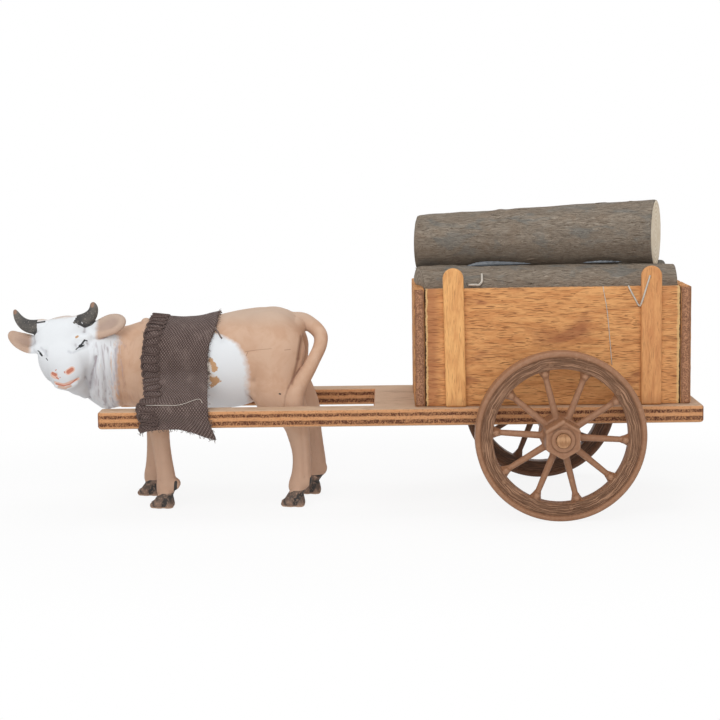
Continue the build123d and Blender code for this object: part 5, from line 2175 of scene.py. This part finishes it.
@dataclass
class ClothBand:
    """A strip of knit over the ox's back, glued to it and down the outside of both shafts."""

    thickness: float = 0.75
    step: float = 0.5
    columns: int = 42
    width: float = 20.0
    rest_from: tuple = (36.0, 43.0)
    rest_gap: tuple = (5.0, 2.6)
    fibres: int = 560
    section: tuple = (
        # half width, height: from the near hem up to the back
        (26.0, 23.2), (25.75, 27.0), (25.7, 30.6), (25.2, 32.0), (23.4, 33.9), (20.6, 36.2), (17.4, 38.7),
        (14.9, 41.2), (13.7, 44.0), (13.2, 47.0), (12.2, 50.0), (10.0, 53.0), (6.6, 55.2), (3.0, 56.2),
        (0.0, 56.5),
    )
    left_edge: tuple = (
        # height, x of the edge that is nearer the head
        (22.5, -59.6), (24.9, -60.0), (26.4, -58.9), (29.8, -60.3), (31.8, -60.8), (33.3, -60.1),
        (34.7, -58.4), (36.9, -58.9), (40.6, -60.1), (44.7, -60.3), (48.8, -59.8), (52.0, -59.7),
        (54.7, -58.9), (57.0, -58.4),
    )
    right_edge: tuple = (
        (22.5, -38.2), (23.9, -38.3), (26.2, -39.4), (28.4, -40.2), (31.6, -40.4), (34.5, -40.7),
        (39.6, -41.2), (43.2, -41.6), (46.1, -41.2), (49.0, -40.8), (52.1, -39.4), (54.8, -38.6),
        (57.0, -39.0),
    )
    near_hem: tuple = (
        # x, height of the lower edge
        (-60.5, 24.6), (-58.0, 25.6), (-53.8, 26.0), (-48.9, 26.0), (-44.7, 25.0), (-41.2, 23.6),
        (-38.4, 22.9),
    )
    pale_thread: tuple = ((-58.4, 32.8), (-53.7, 32.6), (-48.6, 32.8), (-43.3, 34.1), (-41.8, 33.2))
    dark_thread: tuple = (
        (-39.2, -11.4, 53.6), (-38.2, -12.9, 52.4), (-37.6, -13.4, 51.4), (-37.0, -13.6, 50.5),
    )
    far_hem: tuple = (
        (-60.5, 25.4), (-55.0, 25.2), (-50.0, 24.4), (-44.0, 24.9), (-38.4, 24.2),
    )

    def _grid(self) -> Corners:
        """Places of the sheet's grid, and how far each is along and across it in millimetres."""
        half = np.array(self.section, float)
        half[:, 0] *= -1
        whole = np.vstack([half, np.array([(-y, z) for y, z in half[-2::-1]])])
        fine = np.linspace(0, len(whole) - 1, 4000)
        number = np.arange(len(whole))
        line = np.stack([np.interp(fine, number, whole[:, 0]), np.interp(fine, number, whole[:, 1])], 1)
        kernel = np.hanning(241)
        kernel /= kernel.sum()
        padded = np.pad(line, ((120, 120), (0, 0)), mode="reflect", reflect_type="odd")
        line = np.stack([np.convolve(padded[:, i], kernel, "valid") for i in range(2)], 1)
        gone = np.concatenate([[0], np.cumsum(np.linalg.norm(np.diff(line, axis=0), axis=1))])
        rows = int(gone[-1] / self.step)
        at = np.linspace(0, gone[-1], rows + 1)
        y, z = np.interp(at, gone, line[:, 0]), np.interp(at, gone, line[:, 1])
        left = np.interp(z, *np.array(self.left_edge).T)
        right = np.interp(z, *np.array(self.right_edge).T)
        far = smooth_step(-2, 6, y)
        left = left * (1 - far) + (left.mean() + (left - left.mean()) * 0.6 - 0.2) * far
        right = right * (1 - far) + (right.mean() + (right - right.mean()) * 0.4 + 0.3) * far
        share = np.linspace(0, 1, self.columns + 1)
        x = left[:, None] + (right - left)[:, None] * share
        yy = np.repeat(y[:, None], self.columns + 1, 1)
        zz = np.repeat(z[:, None], self.columns + 1, 1)
        places = np.stack([x, yy, zz], -1)
        for sign, hem in ((-1, self.near_hem), (1, self.far_hem)):
            rise = np.interp(places[..., 0], *np.array(hem).T) - 23.2
            low = smooth_step(31.0, 23.2, places[..., 2]) * (places[..., 1] * sign > 0)
            places[..., 2] += rise * low
        marks = np.stack([np.repeat((share * self.width)[None], rows + 1, 0),
                np.repeat(at[:, None], self.columns + 1, 1)], -1)
        return places, marks

    def build(self, ox: Piece, knit: KnitFinish, thread: ThreadFinish) -> None:
        """Makes the sheet, rests it on the ox, and adds its stitches and fibres.

        Args:
            ox: The ox figure, which the sheet lies on.
            knit: The cloth's finish.
            thread: The threads' finish.
        """
        places, marks = self._grid()
        rows, columns = places.shape[:2]
        flat = places.reshape(-1, 3)
        waves = ripples(flat.astype(np.float32), 9.0, 61, 3)
        tree = BVHTree.FromObject(ox, bpy.context.evaluated_depsgraph_get())
        gap = self.thickness / 2 + 0.25
        rested = []
        for place, wave in zip(flat, waves):
            at = Vector(place) * MM
            near, normal, _, _ = tree.find_nearest(at)
            off = (at - near).dot(normal) / MM
            distance = (at - near).length / MM * (1 if off > 0 else -1)
            aim = gap + 0.3 * (0.5 + 0.5 * wave)
            if distance < self.rest_gap[0] and place[2] > self.rest_from[0]:
                share = float(smooth_step(*self.rest_from, place[2])
                        * smooth_step(*self.rest_gap, distance))
                want = aim if distance < aim else aim + (distance - aim) * (1 - share)
                at = near + normal * MM * want if distance < aim or share > 0 else at
            rested.append(np.array(at) / MM)
        grid = np.array(rested).reshape(places.shape)
        for _ in range(6):
            grid[1:-1, 1:-1] = (grid[1:-1, 1:-1] * 2 + grid[:-2, 1:-1] + grid[2:, 1:-1] + grid[1:-1, :-2]
                    + grid[1:-1, 2:]) / 6
        lower = smooth_step(40, 34, grid[..., 2])
        out = np.sign(grid[..., 1]) * 0.35 * waves.reshape(rows, columns) * lower
        grid[..., 1] += np.where(np.abs(grid[..., 1]) > 25.2, np.abs(out) * np.sign(grid[..., 1]), out)
        faces = [[i * columns + j, i * columns + j + 1, (i + 1) * columns + j + 1, (i + 1) * columns + j]
                for i in range(rows - 1) for j in range(columns - 1)]
        sheet = to_object("cloth_sheet", grid.reshape(-1, 3), faces)
        layer = sheet.data.uv_layers.new(name="cloth_mm")
        index = np.empty(len(sheet.data.loops), np.int32)
        sheet.data.loops.foreach_get("vertex_index", index)
        layer.data.foreach_set("uv", marks.reshape(-1, 2)[index].astype(np.float32).ravel())
        dress(sheet, knit.build())
        thick = sheet.modifiers.new("thickness", "SOLIDIFY")
        thick.thickness = self.thickness * MM
        thick.offset = 0.0
        finish_piece(sheet, Part.CART, Slot.CLOTH, "cloth_band")
        thread_material = thread.build()
        overlock = ThreadFinish("overlock thread", 0.85, paint(58, 44, 41), paint(112, 94, 88)).build()
        stitches = self._stitches(grid, overlock)
        fray = self._fray(grid, thread_material)
        loose = self._loose(grid, thread_material)
        for piece in (stitches, fray, loose):
            shade_smooth(piece.data)
            finish_piece(piece, Part.CART, Slot.CLOTH)

    def _points_with_ways(self, name: str, rows: list[tuple]) -> Piece:
        """A base of loose points, each with an out and an along direction."""
        base = to_object(name, [r[0] for r in rows], [])
        for label, column in (("out", 1), ("along", 2)):
            layer = base.data.attributes.new(label, "FLOAT_VECTOR", "POINT")
            layer.data.foreach_set("vector", np.array([r[column] for r in rows], np.float32).ravel())
        return base

    def _frame_at(self, grid: Array, i: int, j: int) -> tuple[Array, Array, Array]:
        """Along, across and outward directions of the sheet at a grid place."""
        a, b = max(i - 1, 0), min(i + 1, grid.shape[0] - 1)
        c, d = max(j - 1, 0), min(j + 1, grid.shape[1] - 1)
        along, across = grid[b, j] - grid[a, j], grid[i, d] - grid[i, c]
        along, across = along / np.linalg.norm(along), across / np.linalg.norm(across)
        return along, across, np.cross(across, along)

    def _stitches(self, grid: Array, material: Material) -> Piece:
        """Overlocked loops along the edge nearer the head."""
        rng = np.random.default_rng(5)
        rows = []
        for i in range(3, grid.shape[0] - 3, 5):
            along, across, out = self._frame_at(grid, i, 5)
            place = grid[i, 5] + out * (self.thickness / 2 + 0.12) + along * rng.uniform(-0.3, 0.3)
            rows.append((place, out, across + along * rng.uniform(-0.25, 0.25)))
        base = self._points_with_ways("stitch_points", rows)
        loops = grow("loops", base, REPEATS.strands, Length=0.0051, Bow=0.0022, Thread_Radius=0.0003,
                Spread=0.06, Shortest=0.92, Closed=1.0, Seed=4, Material=material)
        wave = [0.3 * math.sin(i * 1.3) for i in range(grid.shape[0])]
        cords = []
        for j, side in ((0, 1), (1, -1)):
            path = [grid[i, j] + (wave[i], 0.2 * side * wave[i], 0) for i in range(1, grid.shape[0] - 1, 2)]
            cords.append(tube("edge_cord", path, 0.34, 2))
            dress(cords[-1], material)
        return join("cloth_overlock", [loops, *cords])

    def _loose(self, grid: Array, dark: Material) -> Piece:
        """A pale loose thread across the near side, and a dark one that hangs from the right edge."""
        near = grid[grid[..., 1] < -5.0].reshape(-1, 3)
        path = [near[np.abs(near[:, [0, 2]] - at).sum(1).argmin()] + (0, -0.62, 0.1)
                for at in self.pale_thread]
        pale = tube("loose_threads", path, 0.075, 6)
        dress(pale, ThreadFinish("pale thread", 0.6, color=paint(196, 184, 172),
                tip=paint(222, 214, 204)).build())
        hanging = tube("hanging", self.dark_thread, 0.26, 4)
        dress(hanging, dark)
        return join("loose_threads", [pale, hanging])

    def _fray(self, grid: Array, material: Material) -> Piece:
        """Short loose fibres on all four edges."""
        rng = np.random.default_rng(9)
        rows = []
        last_i, last_j = grid.shape[0] - 1, grid.shape[1] - 1
        for _ in range(self.fibres):
            side = rng.choice(4, p=(0.36, 0.40, 0.12, 0.12))
            i = last_i if side == 3 else 0 if side == 2 else int(rng.integers(0, last_i + 1))
            j = 0 if side == 0 else last_j if side == 1 else int(rng.integers(0, last_j + 1))
            along, across, out = self._frame_at(grid, i, j)
            away = {0: -across, 1: across, 2: -along, 3: along}[int(side)]
            place = grid[i, j] + out * rng.uniform(-0.3, 0.3)
            rows.append((place, away + out * rng.uniform(-0.5, 0.5), out))
        base = self._points_with_ways("fray_points", rows)
        return grow("cloth_fray", base, REPEATS.strands, Length=0.0011, Bow=0.0004, Thread_Radius=0.00008,
                Spread=0.9, Shortest=0.3, Closed=0.0, Seed=8, Material=material)


@dataclass(frozen=True)
class GlueFinish(Finish):
    """Set hot glue: pale and glossy; it is a little see-through, which this finish does not show."""

    gloss: ClassVar[float] = 0.6
    color: tuple = paint(214, 205, 190)
    shade: tuple = paint(160, 154, 146)

    def surface(self, graph: Graph) -> tuple[Socket, Socket]:
        """The colour of the surface and its relief."""
        cloud = graph.noise(graph.place(), (2.0, 1.0, 1.0), 2.0)
        color = graph.mix(cloud, self.color, self.shade)
        return color, None


@dataclass(frozen=True)
class GlueWork:
    """Hot glue: thin strands on the box, blobs between the twigs and fillets along the dowel."""

    stray_gap: ClassVar[float] = 2.5
    cell: ClassVar[float] = 0.3
    deck_bottom: ClassVar[float] = 25.98
    axle: ClassVar[tuple] = ((59.2, -60, 24.0), (59.2, 60, 24.0), 2.05, 2.05)
    strands: tuple = (
        # radius, then places along the strand
        (0.26, ((79.6, -21.2, 65.0), (80.4, -21.9, 63.2), (81.4, -21.9, 61.4), (82.6, -22.2, 59.3),
                (83.1, -23.7, 60.6), (84.0, -23.6, 63.4), (85.4, -23.5, 68.0))),
        (0.11, ((72.4, -21.3, 65.0), (72.7, -21.6, 63.0), (73.7, -21.6, 56.9), (75.0, -21.6, 42.4))),
        (0.38, ((38.4, -15.1, 68.4), (38.3, -16.9, 66.4), (37.4, -17.6, 65.4), (36.4, -17.7, 65.5),
                (34.4, -17.6, 65.4))),
    )
    blobs: tuple = (
        # x, y, z, radius along a blob
        ((34.0, -10.2, 70.3, 0.2), (38.6, -10.2, 70.9, 0.75), (45.0, -9.8, 71.0, 0.6),
         (53.0, -9.2, 70.8, 0.2)),
        ((68.0, -9.4, 70.9, 0.15), (73.0, -9.8, 71.1, 0.4), (80.0, -9.2, 71.0, 0.15)),
    )
    fillet: tuple = (
        (55.2, -24.0, 25.2, 0.9), (55.4, -14.0, 25.0, 1.1), (55.2, 2.0, 25.1, 0.9),
        (55.4, 23.0, 25.2, 1.0),
    )

    def build(self) -> None:
        """Makes, dresses and hands over the glue."""
        clear = GlueFinish("strand glue", 0.3).build()
        lines = [tube(f"strand_{number}", list(path), radius)
                for number, (radius, path) in enumerate(self.strands)]
        for line in lines:
            dress(line, clear)
        finish_piece(join("glue_strands", lines), Part.CART, Slot.BOX_WOOD)
        grey = GlueFinish("grey glue", 0.25, paint(104, 111, 118), paint(58, 62, 68))
        fillet = GlueFinish("fillet glue", 0.35)
        for name, rows, slot, finish in (("glue_blobs", self.blobs, Slot.BARK, grey),
                ("glue_fillet", (self.fillet,), Slot.DOWEL, fillet)):
            table = np.array([place for row in rows for place in row])
            solid = Solid(tuple(table[:, :3].min(0) - self.stray_gap),
                    tuple(table[:, :3].max(0) + self.stray_gap), self.cell)
            for row in rows:
                for bar in chain(list(row), steps=4):
                    solid.add(bar, 0.3)
            if name == "glue_fillet":
                solid.cut(Limb(*self.axle))
                solid.value = np.maximum(solid.value, (solid.axes[2] - self.deck_bottom)[None, None, :])
            piece = solid.mesh(name)
            dress(piece, finish.build())
            finish_piece(piece, Part.CART, slot)


@dataclass(frozen=True)
class Studio:
    """Camera, plain pale floor and soft light."""

    eye: tuple = (11.246, -505.149, 104.619)
    yaw: float = -0.016758
    pitch: float = 0.12318
    roll: float = -0.014762
    focal_px: float = 1705.17
    frame_px: float = 720.0
    sensor_mm: float = 36.0
    floor_half: float = 3000.0
    floor_grey: tuple = (0.94, 0.94, 0.94, 1)
    lamps: tuple = (
        # name, place in metres, size, power
        ("key lamp", (-0.25, -0.8, 0.6), 0.8, 4.2), ("low lamp", (0.2, -0.8, 0.12), 0.6, 1.35),
        ("top lamp", (0.1, 0.15, 0.95), 0.8, 3.0),
    )

    def camera(self) -> None:
        """Makes the camera at the photograph's place."""
        look = Vector((math.sin(self.yaw) * math.cos(self.pitch), math.cos(self.yaw) * math.cos(self.pitch),
                -math.sin(self.pitch)))
        right = look.cross(Vector((0, 0, 1))).normalized()
        up = right.cross(look)
        cos, sin = math.cos(self.roll), math.sin(self.roll)
        rolled_right = right * cos + up * sin
        rolled_up = up * cos - right * sin
        data = bpy.data.cameras.new("camera")
        data.sensor_width = self.sensor_mm
        data.lens = self.focal_px / self.frame_px * self.sensor_mm
        data.clip_start, data.clip_end = 0.01, 10
        camera = bpy.data.objects.new("camera", data)
        turn = Matrix((rolled_right, rolled_up, -look)).transposed().to_4x4()
        camera.matrix_world = Matrix.Translation(Vector(self.eye) * MM) @ turn
        bpy.context.scene.collection.objects.link(camera)
        bpy.context.scene.camera = camera

    def seen(self, graph: Graph) -> Socket:
        """1 for what the camera, a reflection or glass shows."""
        rays = graph.add("ShaderNodeLightPath")
        return graph.math("MAXIMUM", rays.outputs["Is Camera Ray"],
                graph.math("MAXIMUM", rays.outputs["Is Glossy Ray"], rays.outputs["Is Transmission Ray"]))

    def floor(self) -> None:
        """Makes the pale floor, white to the camera apart from the toy's soft shadow."""
        half = self.floor_half
        floor = to_object("floor", [(-half, -half, 0), (half, -half, 0), (half, half, 0), (-half, half, 0)],
                [(0, 1, 2, 3)], smooth=False)
        material = bpy.data.materials.new("pale floor")
        material.use_nodes = True
        tree = material.node_tree
        graph = Graph(tree)
        shader = tree.nodes["Principled BSDF"]
        graph.feed_all(shader, {"Base Color": self.floor_grey, "Roughness": 0.9, "Specular IOR Level": 0.0})
        seen = self.seen(graph)
        x, y, _ = graph.split(graph.place())
        away = graph.vector("LENGTH", graph.unite(graph.over(x, 170.0), graph.over(y, 110.0), 0.0))
        glow = graph.put("ShaderNodeEmission", {"Strength": 1.0})
        share = graph.times(seen, graph.rise(away, 0.7, 1.4, 0.88, 1.0))
        blend = graph.put("ShaderNodeMixShader", {0: share, 1: shader.outputs[0], 2: glow})
        graph.feed(tree.nodes["Material Output"].inputs["Surface"], blend)
        dress(floor, material)

    def light(self) -> None:
        """Makes the pale surroundings and three soft lamps."""
        world = bpy.data.worlds.new("studio")
        bpy.context.scene.world = world
        world.use_nodes = True
        tree = world.node_tree
        graph = Graph(tree)
        plain = tree.nodes["Background"]
        plain.inputs["Color"].default_value = (1, 1, 1, 1)
        graph.feed(plain.inputs["Strength"], graph.math("MULTIPLY_ADD", self.seen(graph), 0.57, 0.43))
        for name, place, size, power in self.lamps:
            data = bpy.data.lights.new(name, "AREA")
            data.size = size
            data.energy = power
            lamp = bpy.data.objects.new(name, data)
            lamp.location = place
            lamp.rotation_euler = (Vector((0, 0, 0.03)) - Vector(place)).to_track_quat("-Z", "Y").to_euler()
            bpy.context.scene.collection.objects.link(lamp)

    def build(self) -> None:
        """Makes the whole stage."""
        self.camera()
        self.floor()
        self.light()
        bpy.context.scene.view_settings.view_transform = "Standard"


def main() -> None:
    """Builds every piece in order."""
    logging.basicConfig(level=logging.INFO, format="%(message)s")
    SHARED.build()
    REPEATS.build()
    Studio().build()
    dress(bpy.data.objects["deck"], PlyFinish("deck ply", 0.7).build())
    dowel = CutWoodFinish("dowel wood", 0.7, light=paint(190, 146, 108), dark=paint(150, 106, 72))
    dress(bpy.data.objects["axle_dowel"], dowel.build())
    ox = OxFigure().build()
    dress(ox, ResinFinish("ox paint", 0.7).build())
    finish_piece(ox, Part.CART, Slot.RESIN, "ox")
    ClothBand().build(ox, KnitFinish("brown knit", 0.9), ThreadFinish("brown thread", 0.85))
    Box().build()
    Stakes().build()
    LogLoad().build(BarkFinish("bark", 0.9))
    Wheel(Part.NEAR_WHEEL, -1).build(PlasticFinish("near wheel plastic", 0.5))
    # The far wheel takes darker copies of the plastic colours: painted shade over the whole wheel.
    Wheel(Part.FAR_WHEEL, 1).build(PlasticFinish("far wheel plastic in shade", 0.5, paint(100, 68, 49),
            paint(54, 35, 25), paint(126, 92, 70)))
    GlueWork().build()


if __name__ == "__main__":
    main()
